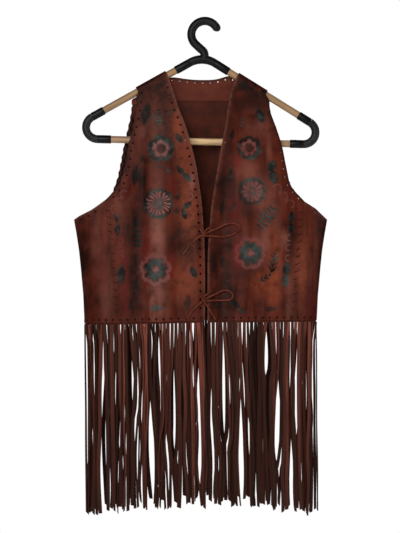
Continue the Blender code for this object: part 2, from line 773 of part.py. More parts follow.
def strand_corner(root, outward, strand, fall, across, through):
    """A corner of a strand's section at a share of its fall."""
    sideways = Vector((-outward.y, outward.x, 0.0))
    twist = strand["twist"] * fall
    width_way = sideways * math.cos(twist) + outward * math.sin(twist)
    depth_way = outward * math.cos(twist) - sideways * math.sin(twist)
    end_z = FRINGE_END_Z - FRINGE_SIDE_FALL * abs(root.x / GIRTHS[0].half_width) ** 2
    length = root.z - end_z + strand["ragged"]
    z = root.z - length * fall
    facing_front = abs(outward.y)
    shift = strand["drift"] * fall ** DRIFT_GROWTH
    push = parting_push(root.x, z) * facing_front
    point = root + sideways * shift + Vector((push + FRINGE_SWAY * fall, 0.0, 0.0))
    point += outward * (strand["layer"] * STRAND_LAYER_STEP * smoothstep(fall / STRAND_LEVELS[0]))
    point += width_way * across * strand["width"] / 2
    point += depth_way * through * STRAND_THICKNESS / 2
    point.z = z + across * strand["slant"] * (fall == 1.0)
    return point


def strand_faces(under, strands, hem_place):
    """The strip's underside faces, one below the middle of each strand."""
    faces = []
    for strand in strands:
        middle = hem_place(strand["middle"])[0]
        faces.append(min(under, key=lambda face: (face.calc_center_median().xy - middle.xy).length))
    return faces


def build_fringe(name, start_angle, end_angle, seed, parts, material):
    """A strip under one stretch of the hem, with its strands cut down from it."""
    chance = random.Random(FRINGE_SEED + seed)
    angles, lengths = hem_line()
    start, end = np.interp([start_angle, end_angle], angles, lengths)
    count = round((end - start) / STRAND_PITCH)
    step = (end - start) / count
    strands = []
    for index in range(count):
        strands.append({
            "middle": start + (index + 0.5) * step,
            "width": step * chance.uniform(STRAND_WIDTH_LEAST, STRAND_WIDTH_MOST),
            "layer": STRAND_LAYERS[index % len(STRAND_LAYERS)],
            "drift": chance.uniform(-STRAND_DRIFT, STRAND_DRIFT),
            "twist": chance.uniform(-STRAND_TWIST, STRAND_TWIST),
            "ragged": chance.uniform(-STRAND_RAGGED, STRAND_RAGGED),
            "slant": chance.uniform(-STRAND_SLANT, STRAND_SLANT),
        })

    def hem_place(length):
        angle = float(np.interp(length, lengths, angles))
        point = on_ring(angle, HEM[0].z)
        beside = on_ring(angle + HEM_STEP, HEM[0].z) - on_ring(angle - HEM_STEP, HEM[0].z)
        outward = Vector((beside.y, -beside.x, 0.0)).normalized()
        point.z = hem_z(point.x) - SEAM
        return point, outward

    def strip_place(column, row):
        strand = strands[column // 2]
        side = -1 if column % 2 == 0 else 1
        point = hem_place(strand["middle"] + side * strand["width"] / 2)[0]
        point.z -= STRIP_HEIGHT * (1 - row)
        return point

    bm = add_grid(2 * count - 1, 1, strip_place)
    bm.normal_update()
    bmesh.ops.solidify(bm, geom=bm.faces[:], thickness=STRAND_THICKNESS)
    bm.normal_update()
    under = [face for face in bm.faces if face.normal.z < -FACES_DOWN]
    for strand, face in zip(strands, strand_faces(under, strands, hem_place)):
        point, outward = hem_place(strand["middle"])
        root = point - outward * STRAND_THICKNESS / 2
        root.z -= STRIP_HEIGHT
        sideways = Vector((-outward.y, outward.x, 0.0))
        for fall in STRAND_LEVELS:
            middle = face.calc_center_median()
            face = bmesh.ops.extrude_discrete_faces(bm, faces=[face])["faces"][0]
            for vert in face.verts:
                offset = vert.co - middle
                across = math.copysign(1.0, offset.dot(sideways))
                through = math.copysign(1.0, offset.dot(outward))
                vert.co = strand_corner(root, outward, strand, fall, across, through)
    bm.normal_update()
    add_mesh(name, bm, parts, material)


def hem_angle(x, facing):
    """Angle round the body of a place on the hem."""
    turn = math.asin((x - BODY_MIDDLE_X) / GIRTHS[0].half_width)
    return turn if facing < 0 else math.pi - turn


def build_fringes(parts, material):
    left_seam = hem_angle(LEFT_FRONT[0].left_x, -1)
    right_seam = hem_angle(RIGHT_FRONT[0].right_x, -1)
    left_back = -CORNER_ANGLE
    right_back = CORNER_ANGLE
    stretches = (
        ("fringe_front_left", left_seam, hem_angle(LEFT_FRONT[0].right_x, -1)),
        ("fringe_front_right", hem_angle(RIGHT_FRONT[0].left_x, -1), right_seam),
        ("fringe_side_left", left_back, left_seam),
        ("fringe_side_right", right_seam, right_back),
        ("fringe_back", right_back, left_back + 2 * math.pi),
    )
    for seed, (name, start, end) in enumerate(stretches):
        build_fringe(name, start, end, seed, parts, material)


# Ties

def thong_line(route):
    """A thong's route in space, lying off the leather of the fronts."""
    points = [on_wall(point.x, point.z, -1) - Vector((0.0, point.off, 0.0)) for point in route]
    return smooth_line(points, spacing=THONG_STEP)


def build_knot(name, knot, lace, parts, guides, material):
    """Knot over the opening, with the lacing that reaches a hole in each front."""
    bm = bmesh.new()
    bmesh.ops.create_uvsphere(bm, u_segments=KNOT_SIDES, v_segments=KNOT_RINGS, radius=KNOT_RADIUS)
    ball = add_mesh(name, bm, parts, material)
    ball.location = on_wall(knot.x, knot.z, -1) - Vector((0.0, knot.off, 0.0))
    rod = add_tube(name + "_lace", thong_line(lace), THONG_RADIUS, guides, material,
                   THONG_ROUNDING)
    join_with(ball, as_mesh(rod))


def build_ties(parts, guides):
    material = add_material("leather_thong")
    build_knot("tie_upper_knot", UPPER_KNOT, UPPER_LACE, parts, guides, material)
    build_knot("tie_lower_knot", LOWER_KNOT, LOWER_LACE, parts, guides, material)
    thongs = (
        ("tie_upper_loop", UPPER_LOOP),
        ("tie_upper_end", UPPER_END),
        ("tie_lower_loop", LOWER_LOOP),
        ("tie_lower_end_left", LOWER_END_LEFT),
        ("tie_lower_end_right", LOWER_END_RIGHT),
    )
    for name, route in thongs:
        add_tube(name, thong_line(route), THONG_RADIUS, parts, material, THONG_ROUNDING)


def add_collection(name):
    collection = bpy.data.collections.new(name)
    bpy.context.scene.collection.children.link(collection)
    return collection


def main():
    for item in list(bpy.data.objects):
        bpy.data.objects.remove(item)
    parts = add_collection("leather_vest")
    guides = add_collection("guides")
    build_hanger(parts, guides)
    front = add_material("leather_front")
    build_front("front_left", LEFT_FRONT, -1, parts, front)
    build_front("front_right", RIGHT_FRONT, 1, parts, front)
    back = add_material("leather_back")
    build_back(parts, back)
    build_yoke(parts, back)
    build_fringes(parts, add_material("leather_fringe"))
    build_ties(parts, guides)


main()
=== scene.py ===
"""Finished look of a laced leather vest with a fringed hem, on its hanger.

Laid out as an add-on and run as a script. Metres, +Z up, the fronts face -Y. Left and
right are as seen from the front.
"""

import json
import math
import random
from collections import namedtuple
from functools import lru_cache, partial

import bmesh
import bpy
import numpy as np
from bpy.props import FloatProperty, FloatVectorProperty, PointerProperty
from mathutils import Matrix, Vector, noise
from mathutils.bvhtree import BVHTree
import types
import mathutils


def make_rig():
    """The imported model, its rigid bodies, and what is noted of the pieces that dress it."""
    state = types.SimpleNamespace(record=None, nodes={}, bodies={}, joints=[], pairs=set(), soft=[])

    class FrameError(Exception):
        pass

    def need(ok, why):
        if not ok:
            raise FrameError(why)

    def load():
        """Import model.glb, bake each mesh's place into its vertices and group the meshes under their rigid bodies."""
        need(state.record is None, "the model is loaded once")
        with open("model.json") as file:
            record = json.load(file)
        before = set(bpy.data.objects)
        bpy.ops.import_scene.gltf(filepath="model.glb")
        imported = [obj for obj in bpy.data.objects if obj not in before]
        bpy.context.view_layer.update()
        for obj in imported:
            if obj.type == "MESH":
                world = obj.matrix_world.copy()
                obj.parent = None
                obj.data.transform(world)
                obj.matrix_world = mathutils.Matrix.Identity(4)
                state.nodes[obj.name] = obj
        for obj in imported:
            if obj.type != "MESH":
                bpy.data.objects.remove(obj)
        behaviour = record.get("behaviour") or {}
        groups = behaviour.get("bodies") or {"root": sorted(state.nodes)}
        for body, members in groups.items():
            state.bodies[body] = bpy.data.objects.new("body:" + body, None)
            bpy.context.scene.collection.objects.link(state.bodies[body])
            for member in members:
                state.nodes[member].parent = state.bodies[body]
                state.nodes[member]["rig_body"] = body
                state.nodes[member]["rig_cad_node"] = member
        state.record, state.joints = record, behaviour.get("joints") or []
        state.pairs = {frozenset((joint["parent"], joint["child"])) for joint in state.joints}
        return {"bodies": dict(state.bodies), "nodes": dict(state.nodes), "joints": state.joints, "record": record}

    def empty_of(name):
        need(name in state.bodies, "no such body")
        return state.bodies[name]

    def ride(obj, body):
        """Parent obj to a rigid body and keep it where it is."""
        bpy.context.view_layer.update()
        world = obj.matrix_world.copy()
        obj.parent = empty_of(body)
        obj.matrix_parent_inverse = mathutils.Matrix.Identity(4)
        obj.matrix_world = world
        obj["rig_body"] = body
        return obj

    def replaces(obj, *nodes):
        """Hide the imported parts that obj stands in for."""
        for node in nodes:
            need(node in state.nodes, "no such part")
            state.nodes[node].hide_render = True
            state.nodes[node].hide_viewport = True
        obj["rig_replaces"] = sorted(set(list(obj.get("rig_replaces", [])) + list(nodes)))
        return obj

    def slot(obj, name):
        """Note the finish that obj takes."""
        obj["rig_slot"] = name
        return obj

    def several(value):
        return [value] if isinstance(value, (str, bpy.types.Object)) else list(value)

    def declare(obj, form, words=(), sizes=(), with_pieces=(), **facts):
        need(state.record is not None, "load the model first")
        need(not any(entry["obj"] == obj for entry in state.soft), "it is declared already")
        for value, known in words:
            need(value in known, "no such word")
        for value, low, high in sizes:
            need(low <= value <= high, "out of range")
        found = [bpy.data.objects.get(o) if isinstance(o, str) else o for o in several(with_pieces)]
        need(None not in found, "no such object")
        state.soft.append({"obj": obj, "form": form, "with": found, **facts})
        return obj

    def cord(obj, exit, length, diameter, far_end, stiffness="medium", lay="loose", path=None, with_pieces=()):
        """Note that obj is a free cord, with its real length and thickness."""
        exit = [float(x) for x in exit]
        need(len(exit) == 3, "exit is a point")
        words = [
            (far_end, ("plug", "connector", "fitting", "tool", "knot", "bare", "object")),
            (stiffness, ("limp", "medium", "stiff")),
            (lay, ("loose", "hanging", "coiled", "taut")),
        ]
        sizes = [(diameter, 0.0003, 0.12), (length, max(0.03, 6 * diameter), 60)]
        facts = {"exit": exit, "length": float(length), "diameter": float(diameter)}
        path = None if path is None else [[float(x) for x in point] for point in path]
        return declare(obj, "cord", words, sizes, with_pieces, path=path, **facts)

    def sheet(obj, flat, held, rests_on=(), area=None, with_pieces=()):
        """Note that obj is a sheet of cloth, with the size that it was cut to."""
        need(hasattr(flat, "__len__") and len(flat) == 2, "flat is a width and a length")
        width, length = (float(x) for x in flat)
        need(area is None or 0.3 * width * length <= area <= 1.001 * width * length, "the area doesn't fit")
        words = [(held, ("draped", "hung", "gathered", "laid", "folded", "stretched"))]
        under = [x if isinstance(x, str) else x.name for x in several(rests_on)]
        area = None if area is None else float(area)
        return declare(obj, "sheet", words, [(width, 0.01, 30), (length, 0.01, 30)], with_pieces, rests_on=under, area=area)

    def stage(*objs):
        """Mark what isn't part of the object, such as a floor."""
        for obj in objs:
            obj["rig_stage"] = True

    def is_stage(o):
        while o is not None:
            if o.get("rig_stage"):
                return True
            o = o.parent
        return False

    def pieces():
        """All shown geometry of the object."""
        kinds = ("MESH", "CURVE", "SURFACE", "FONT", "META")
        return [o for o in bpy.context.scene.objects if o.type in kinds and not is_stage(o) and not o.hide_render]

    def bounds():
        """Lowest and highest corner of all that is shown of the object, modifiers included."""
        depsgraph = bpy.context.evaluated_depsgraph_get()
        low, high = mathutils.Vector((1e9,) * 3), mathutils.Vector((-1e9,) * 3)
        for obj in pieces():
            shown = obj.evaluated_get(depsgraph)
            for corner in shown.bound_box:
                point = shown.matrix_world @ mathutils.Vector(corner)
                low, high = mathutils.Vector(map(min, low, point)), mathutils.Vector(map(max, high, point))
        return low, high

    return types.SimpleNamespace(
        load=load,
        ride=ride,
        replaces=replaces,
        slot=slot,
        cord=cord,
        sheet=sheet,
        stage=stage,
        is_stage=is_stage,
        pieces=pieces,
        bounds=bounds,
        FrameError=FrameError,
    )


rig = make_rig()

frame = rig.load()
CAD_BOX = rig.bounds()
SIZE_FILE = "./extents.json"

bl_info = {
    "name": "Laced leather vest",
    "version": (1, 0, 0),
    "blender": (4, 5, 0),
    "location": "View3D > Sidebar > Vest",
    "description": "Dresses the solids of a laced and fringed leather vest on its hanger",
    "category": "Object",
}

MM_PER_METRE = 1000


def table(row, lengths, *rows):
    """Rows with named columns. The first of them are lengths, written in millimetres."""
    return tuple(
        row(*[value / MM_PER_METRE for value in values[:lengths]], *values[lengths:])
        for values in rows
    )


# Leather and sewing, as in the solids
LEATHER = 0.0018
SEAM = 0.0003

# Hanger, drawn upright about its own middle and then leaned
HANGER_LEAN = math.radians(1.4)
HANGER_MIDDLE_X = -0.0027
DOWEL_RADIUS = 0.0062
SLEEVE_RADIUS = 0.0073
BEND_RADIUS = 0.0072
ARCH_FULLNESS = 1.08
HOOK_ROD_RADIUS = 0.0075
HOOK_ARC_RADIUS = 0.0238
HOOK_ARC_CENTRE_Z = -0.0163
HOOK_TIP_ANGLE = 15.0
HOOK_TIP_ROUNDING = 14.0
HOOK_TIP_RADII = (0.30, 0.58, 0.76, 0.88, 0.96, 1.0)
HOOK_BACK_ANGLE = 225.0
HOOK_ARC_STEPS = 40
HOOK_STEM_STEPS = 5
HOOK_MIDDLE_X = 0.0031
HOOK_STEM = ((-0.0050, -0.0410), (0.0016, -0.0468), (0.0036, -0.0540))
ARCH_TOP_Z = -0.0606
ARCH_RADIUS = 0.0433
ARCH_STEPS = 24
SHOULDER_SLOPE = math.radians(30.5)
SHOULDER_SLEEVE_X = 0.0465
ELBOW_TOP_X = 0.1719
ELBOW_BEND_RADIUS = 0.0209
ELBOW_BEND_CENTRE_X = 0.1817
ELBOW_LOW_X = 0.158
ELBOW_STEPS = 28
BAR_Z = -0.2057
ROD_SIDES = 36
PLASTIC_ROUNDING = 8
END_ROUNDING = 0.0007
END_ROUNDING_STEPS = 3

# Shoulder straps: how far along the dowel, from the sleeve's end, each edge lies
STRAP_INNER = 0.0170
STRAP_OUTER = 0.0765
SOLID_STRAP_STEP = math.radians(30)
STRAP_RADIUS = (DOWEL_RADIUS + SEAM + LEATHER) / math.cos(SOLID_STRAP_STEP / 2)
STRAP_TURNS = 18
SHOULDER_SEAM_DROP = 0.004

# Body of the vest: a flat tube round the hanging front and back
BODY_MIDDLE_X = -0.0076
DROP_TO_FULL_DEPTH = 0.150
DOWEL_BLEND = 0.030

Girth = namedtuple("Girth", "z half_width front_depth back_depth")
GIRTHS = table(
    Girth, 4,
    (-524, 205, 52, 42),
    (-476, 207.2, 49, 39),
    (-423, 212, 44, 34),
    (-397, 214.8, 41, 31),
    (-370.5, 218.8, 39, 29),
    (-344, 223.4, 36, 26),
    (-205.7, 223.4, 33, 24),
    (-80, 223.4, 30, 22),
)

HemPoint = namedtuple("HemPoint", "x z")
HEM = table(
    HemPoint, 2,
    (-212, -525.5),
    (-153.4, -524),
    (0, -520),
    (155.5, -519.6),
    (196, -520.5),
)

# Edges of the two fronts from the hem up. The side seam meets the armhole at the row that
# is named as the corner.
FrontRow = namedtuple("FrontRow", "left_x left_z right_x right_z")
LEFT_FRONT = table(
    FrontRow, 4,
    (-153.4, -524, -0.2, -520),
    (-158.7, -467.5, 0, -467.5),
    (-165.4, -396.9, -0.7, -396.9),
    (-173.7, -308.7, -4.8, -322.8),
    (-152.5, -284, -9.9, -284),
    (-142.8, -255.7, -15.7, -248.7),
    (-136.6, -220.4, -23.7, -215.2),
    (-129.6, -186.9, -35.1, -176.3),
    (-123.4, -156.9, -47.5, -144.6),
    (-120.7, -130.4, -57.2, -112.8),
)
RIGHT_FRONT = table(
    FrontRow, 4,
    (4.6, -520, 155.5, -519.6),
    (4.7, -467.5, 160.2, -467.5),
    (5.5, -396.9, 166.6, -396.9),
    (11.1, -322.8, 174, -311.5),
    (17.5, -284, 151.1, -284.9),
    (23.1, -248.7, 142.6, -252.2),
    (28.9, -215.2, 135.8, -216.9),
    (36.4, -176.3, 126.4, -185.1),
    (41.1, -144.6, 116.3, -156.9),
    (47.8, -112.8, 111.4, -132.2),
)
FRONT_CORNER = 3
FRONT_COLUMNS = 84
FRONT_ROW_STEPS = 22

# Armholes of the back, as half widths about the body's middle
ArmholePoint = namedtuple("ArmholePoint", "half_width z")
BACK_ARMHOLE = table(
    ArmholePoint, 2,
    (161.5, -300),
    (157, -293),
    (147.8, -265),
    (142, -235),
    (136.6, -205),
    (125.5, -157),
    (122, -132),
)
UNDERARM_BACK = table(
    ArmholePoint, 2,
    (161.5, -300),
    (169.4, -308.2),
    (191.5, -325.8),
    (213.6, -337.2),
    (223.4, -343.5),
)
UNDERARM_LEFT = table(
    ArmholePoint, 2,
    (166.1, -308.7),
    (191.5, -326),
    (213.6, -337),
    (223.4, -343.5),
)
UNDERARM_RIGHT = table(
    ArmholePoint, 2,
    (181.6, -311.5),
    (202.6, -324.2),
    (223.4, -343.5),
)
SIDE_COLUMNS = 40
SIDE_CROWDING = 1.5
CENTRE_COLUMNS = 66
BACK_LOWER_ROWS = 62
BACK_UPPER_ROWS = 44
BACK_COLUMNS = 2 * SIDE_COLUMNS + CENTRE_COLUMNS
BACK_ROWS = BACK_LOWER_ROWS + BACK_UPPER_ROWS
CORNER_ANGLE = math.pi - math.asin(BACK_ARMHOLE[0].half_width / UNDERARM_BACK[-1].half_width)

# Yoke across the back's shoulders
YOKE_SEAM_Z = -0.1245
YOKE_SEAM_FALL = 0.008
NECK_LOW_X = -0.0014
NECK_LOW_Z = -0.0957
NECK_RISE_LEFT = 0.0018
NECK_RISE_RIGHT = 0.0062
NECK_COLUMNS = 36
YOKE_STRAP_COLUMNS = 18
YOKE_ROWS = 14
LAP = 0.0075
LAP_ROWS = 4
LAP_EASE = 0.004

# Folds of the solids: lift is outwards, and a trough is negative
Fold = namedtuple("Fold", "x_top x_bottom z_top z_bottom lift half_width")
FRONT_FOLDS = table(
    Fold, 6,
    (-112, -118, -160, -640, -5, 16),
    (-80, -70, -170, -680, 4, 22),
    (-18, -10, -230, -680, 3, 14),
    (36, 22, -210, -640, -4.5, 16),
    (80, 72, -170, -680, 4, 20),
    (116, 122, -260, -580, -4, 12),
    (136, 140, -300, -660, 2.5, 10),
    (-184, -178, -340, -680, 2.5, 15),
    (176, 170, -340, -660, -2.5, 12),
)
BACK_FOLDS = table(
    Fold, 6,
    (-96, -110, -170, -680, 4, 22),
    (-46, -52, -220, -640, -4.5, 18),
    (4, 10, -160, -680, 3, 20),
    (62, 70, -200, -640, -4, 17),
    (110, 122, -230, -680, 3.5, 20),
)
FOLD_FADE = 0.25

# Finer creases of the worn hide, from one end to the other
Crease = namedtuple("Crease", "x z end_x end_z lift half_width")
FRONT_CREASES = table(
    Crease, 6,
    (-14, -366, -66, -350, -1.1, 5),
    (-16, -378, -58, -404, -1.2, 5.5),
    (18, -380, 62, -408, -1.1, 5),
    (-14, -488, -62, -470, -1, 5),
    (16, -492, 56, -508, -1, 5),
    (-101, -470, -106, -522, -2.6, 4),
    (-94, -480, -97, -521, 2.2, 3.2),
    (-88, -474, -86, -520, -2.2, 3.4),
    (-79, -490, -76, -521, 1.8, 3.4),
    (-66, -480, -68, -521, -2, 3.6),
    (-52, -460, -46, -520, -1.2, 5),
    (-92, -484, -70, -478, 1.6, 3.4),
    (98, -462, 96, -521, -2.6, 3.6),
    (105, -486, 106, -520, 1.8, 3.4),
    (60, -440, 54, -518, -1.2, 5),
    (76, -482, 79, -520, -1.9, 4),
    (110, -400, 206, -402, -2.2, 2.4),
    (-126, -290, -150, -330, -1.2, 6),
    (120, -290, 148, -326, -1.2, 6),
    (-94, -140, -108, -205, -1, 5.5),
    (88, -150, 102, -210, -1, 5.5),
    (-68, -152, -60, -196, 0.8, 6),
    (-107, -236, -110, -330, -1.2, 4.5),
    (-192, -372, -187, -470, -1.3, 6),
    (184, -420, 178, -510, -1.3, 6),
)
BACK_CREASES = table(
    Crease, 6,
    (-130, -250, -80, -300, -1.4, 6.5),
    (118, -246, 70, -292, -1.4, 6.5),
    (-28, -190, -36, -310, -1.1, 5.5),
    (40, -200, 34, -300, 1, 6),
    (-80, -400, -86, -516, -1.4, 5),
    (-10, -420, -18, -518, -1.2, 5),
    (44, -390, 50, -516, -1.3, 5),
    (98, -420, 94, -518, -1.2, 4.5),
    (-150, -360, -156, -470, -1.2, 5.5),
    (140, -340, 146, -480, -1.2, 5.5),
    (-60, -352, 20, -360, -0.8, 4),
)
UNDULATION = 0.0007
UNDULATION_SIZE = 0.038

# Fringe: cut strands on a narrow strip under the hem. The strip is cut nearly up to the
# hem, which the solids leave out.
STRIP_HEIGHT = 0.0025
STRIP_LAP = 0.0015
STRIP_ROWS = 2
STRIP_SHADE = 0.3
STRAND_PITCH = 0.0068
STRAND_THICKNESS = 0.0016
STRAND_WIDTHS = (0.76, 1.10)
STRAND_LAYER_STEP = 0.0040
STRAND_LAYERS = (-2, 0, -1)
STRAND_FREE = 0.12
STRAND_DRIFT = 0.0035
DRIFT_GROWTH = 1.5
STRAND_TWIST = math.radians(22)
STRAND_RAGGED = 0.005
STRAND_SLANT = 0.002
FRINGE_END_Z = -0.838
FRINGE_SIDE_FALL = 0.021
FRINGE_SWAY = 0.003
FRINGE_SEED = 11
HEM_TURN = 230
HEM_STEP = 0.01
STRAND_COLUMNS = 4
STRAND_ROWS = 30
FINE_SEED = 500
TIP_SHARE = 0.018
TIPS = (0.75, 1.0)
CUT_AGAIN = 0.35
CUT_ASIDE = 0.3
SHADE_POWER = 1.8
WAVES = (0.7, 2.4)
WAVED_BY = 0.5
CUPPED_BY = 0.25
CUP_LIFT = 0.5
RIBBON_DRIFT = 0.0030
RIBBON_RAGGED = 0.003
LEANING = 0.18
LEAN = 0.016
GROUP_LEAN = 0.011
GROUP_SIZE = 0.030
GATHERED = (0.05, 0.34)
GATHER = 0.0014
NECKS = (0.55, 1.05)

Parting = namedtuple("Parting", "x z_top z_bottom width")
PARTINGS = table(
    Parting, 4,
    (-178, -600, -880, 8),
    (-130, -530, -690, 7),
    (-98, -620, -880, 15),
    (-80, -545, -720, 8),
    (-66, -730, -940, 13),
    (-54, -600, -760, 6),
    (-11, -530, -800, 6),
    (34, -545, -740, 11),
    (62, -590, -860, 12),
    (50, -760, -900, 8),
    (110, -525, -620, 8),
    (128, -620, -780, 11),
    (134, -730, -880, 7),
    (165, -520, -880, 7),
)
PARTING_REACH = 0.011
PARTING_SWELL = 3.4

# Thong ties: x and z on the front, and how far the thong's middle lies off the leather
THONG_STEP = 0.003
THONG_ROUNDING = 4
KNOT_RADIUS = 0.0036
KNOT_OFF = KNOT_RADIUS + SEAM
AT_KNOT = KNOT_OFF * MM_PER_METRE
KNOT_STEPS = 90
KNOT_REACH = 3
KNOT_INSET = 0.25
KNOT_DEPTH = 1.6
KNOT_THONG = 0.42
LACE_THONG = 0.45
ThongPoint = namedtuple("ThongPoint", "x z off")
UPPER_KNOT = ThongPoint(-0.0016, -0.3710, KNOT_OFF)
UPPER_LACE = table(
    ThongPoint, 3,
    (-9, -361, 1.6),
    (-6, -365, 2.4),
    (-1.6, -370, AT_KNOT),
    (-0.4, -365, 3.4),
    (7.5, -358, 2.2),
    (13.1, -354.2, 1.6),
)
UPPER_LOOP = table(
    ThongPoint, 3,
    (1.6, -368.8, AT_KNOT),
    (7, -365.6, 4.2),
    (19.1, -360.5, 4.4),
    (33.7, -353.5, 4.8),
    (44.3, -351.2, 4.6),
    (54.4, -351.9, 4),
    (61.2, -358.8, 3.4),
    (55.8, -365.7, 3),
    (42.9, -371.9, 2.8),
    (29.1, -374.2, 2.8),
    (15.4, -373.2, 3.2),
    (1.9, -372.7, AT_KNOT),
)
UPPER_END = table(
    ThongPoint, 3,
    (-5.3, -372.2, AT_KNOT),
    (-10.8, -374.3, 3),
    (-16.9, -379.5, 2.2),
    (-25.2, -388, 1.8),
    (-29.8, -394.1, 1.8),
    (-39, -405.6, 1.8),
)
LOWER_KNOT = ThongPoint(-0.0019, -0.4841, KNOT_OFF)
LOWER_LACE = table(
    ThongPoint, 3,
    (-8.8, -476, 1.6),
    (-6.2, -479, 2.4),
    (-1.9, -483.1, AT_KNOT),
    (-0.8, -478.2, 3.4),
    (5.6, -472.2, 2.2),
    (10.8, -469.2, 1.6),
)
LOWER_LOOP = table(
    ThongPoint, 3,
    (1.5, -482.1, AT_KNOT),
    (8, -478.4, 4.2),
    (17.6, -473.8, 4.4),
    (29.1, -468.4, 4.6),
    (39.7, -467.7, 4.2),
    (46.8, -472.4, 3.6),
    (48.2, -478.4, 3.2),
    (43.3, -483.4, 3),
    (32.8, -484.5, 2.8),
    (17.6, -484.8, 3.2),
    (1.6, -485.8, AT_KNOT),
)
LOWER_END_LEFT = table(
    ThongPoint, 3,
    (-4.9, -486.6, AT_KNOT),
    (-10.8, -491.6, 3),
    (-19.2, -499.8, 2),
    (-26.1, -508.3, 2),
    (-31.4, -516.6, 2),
)
LOWER_END_RIGHT = table(
    ThongPoint, 3,
    (-0.6, -487.8, AT_KNOT),
    (3, -493, 3.2),
    (9.2, -502.9, 2.4),
    (13.8, -510.6, 2.2),
    (18.4, -518.2, 2.2),
)

# Painted flowers and leaves: place on the front, radius or half length, kind, turn in
# degrees, count of petals or bars, how strong the paint is, and how red its second colour is
FLOWER, ROSETTE, WHEEL, DAISY, LEAF, BARS, TWIG, SCALLOP = range(1, 9)
Motif = namedtuple("Motif", "x z size kind turn count strength redness", defaults=(6, 1.0, 0.2))
MOTIFS = table(
    Motif, 3,
    (-103.5, -157, 24.5, LEAF, 76, 5),
    (-82, -164, 16, BARS, 90, 5),
    (-60, -155, 11, LEAF, 60, 5, 0.6),
    (-77, -220, 26.5, FLOWER, 90, 5, 1.0, 0.15),
    (-45, -202, 12, LEAF, -60),
    (-43, -258, 12, LEAF, -50),
    (-31, -270, 12, LEAF, -42),
    (-79, -253, 9, LEAF, 0, 5, 0.7),
    (-63, -260, 10, LEAF, -60, 5, 0.7),
    (-121.5, -266.5, 22.5, LEAF, 82, 4),
    (-81, -316, 29, ROSETTE, 0, 18, 1.0, 0.25),
    (-48.5, -304, 8, LEAF, 80, 8, 0.7),
    (-50, -329, 8.5, LEAF, 85, 8, 0.7),
    (-26.8, -285, 6.2, SCALLOP, 180, 5, 0.4, 0.1),
    (-26, -294.5, 6.2, SCALLOP, 180, 5, 0.4, 0.1),
    (-25.2, -304, 6.2, SCALLOP, 180, 5, 0.4, 0.1),
    (-141.2, -299.5, 9, SCALLOP, -30, 5, 0.22, 0.1),
    (-149.4, -312.6, 9, SCALLOP, -30, 5, 0.22, 0.1),
    (-157.6, -325.6, 9, SCALLOP, -30, 5, 0.22, 0.1),
    (-31, -319, 12, LEAF, 40),
    (-36, -335, 12, LEAF, -70),
    (-154, -341, 10, LEAF, 90),
    (-153, -361, 13, LEAF, 85),
    (-148, -381, 6.5, SCALLOP, 180, 5, 0.6, 1.0),
    (-147.5, -396, 6.5, SCALLOP, 180, 5, 0.6, 1.0),
    (-147, -411, 6.5, SCALLOP, 180, 5, 0.6, 1.0),
    (-146, -440, 19, LEAF, 86),
    (-122, -349, 10, LEAF, 90),
    (-116.5, -377.5, 16.5, BARS, 90, 4),
    (-49, -369, 15, LEAF, 60, 5, 0.5),
    (-86, -431, 28.5, DAISY, -90, 7, 1.0, 0.25),
    (-20, -435.5, 12.5, LEAF, -60, 7),
    (-30.5, -488, 17, LEAF, 84, 5, 0.7),
    (-83, -498, 14, LEAF, 5, 6, 0.8),
    (-120, -462, 15, LEAF, 80, 5, 0.7),
    (-129, -491, 12, LEAF, 80, 5, 0.7),
    (-78, -108, 17, LEAF, -150, 5, 0.6),
    (70, -108, 17, LEAF, -30, 5, 0.6),
    (77.5, -218.5, 24.5, FLOWER, 90, 7, 0.9, 0.5),
    (82.5, -294.5, 27.5, WHEEL, 0, 12, 0.9, 0.25),
    (97, -161, 15, LEAF, -70, 7),
    (65, -174, 9, BARS, 90, 3, 0.6),
    (47.5, -197, 15, LEAF, 80, 4, 0.9),
    (44, -265, 16, LEAF, 80, 4, 0.9),
    (117, -251, 12, LEAF, 70, 9),
    (120, -269, 14, LEAF, -80, 8),
    (126.2, -290, 10, SCALLOP, 225, 5, 0.22, 0.1),
    (137.2, -303.5, 10, SCALLOP, 225, 5, 0.22, 0.1),
    (148.2, -317, 10, SCALLOP, 225, 5, 0.22, 0.1),
    (107, -340.5, 24.5, BARS, 54, 6),
    (79.5, -402.5, 29, DAISY, -20, 8, 1.0, 0.5),
    (119, -420, 20, TWIG, 77, 4),
    (104, -446, 14, TWIG, 30, 3),
    (151, -340, 12, LEAF, 85),
    (151, -358, 12, LEAF, -85),
    (147.5, -376, 7, SCALLOP, 0, 5, 0.45, 0.1),
    (146.5, -393, 7, SCALLOP, 0, 5, 0.45, 0.1),
    (145.5, -411, 7, SCALLOP, 0, 5, 0.45, 0.1),
    (142.5, -430, 15, LEAF, 88),
    (140.5, -450, 14, LEAF, 88),
    (53, -491, 12, LEAF, -45),
    (63, -502, 12, LEAF, -30, 5, 0.8),
    (114.5, -500, 13.5, LEAF, 6, 5, 0.8),
    (30, -322, 15, LEAF, 85, 5, 0.8),
    (30, -419, 11, LEAF, 85, 5, 0.8),
    (51, -322, 11, LEAF, 80, 5, 0.6),
    (25, -490, 12, LEAF, 60, 5, 0.7),
)
MOTIF_ROOM = 1.2
PAINT_EDGE = 6.5

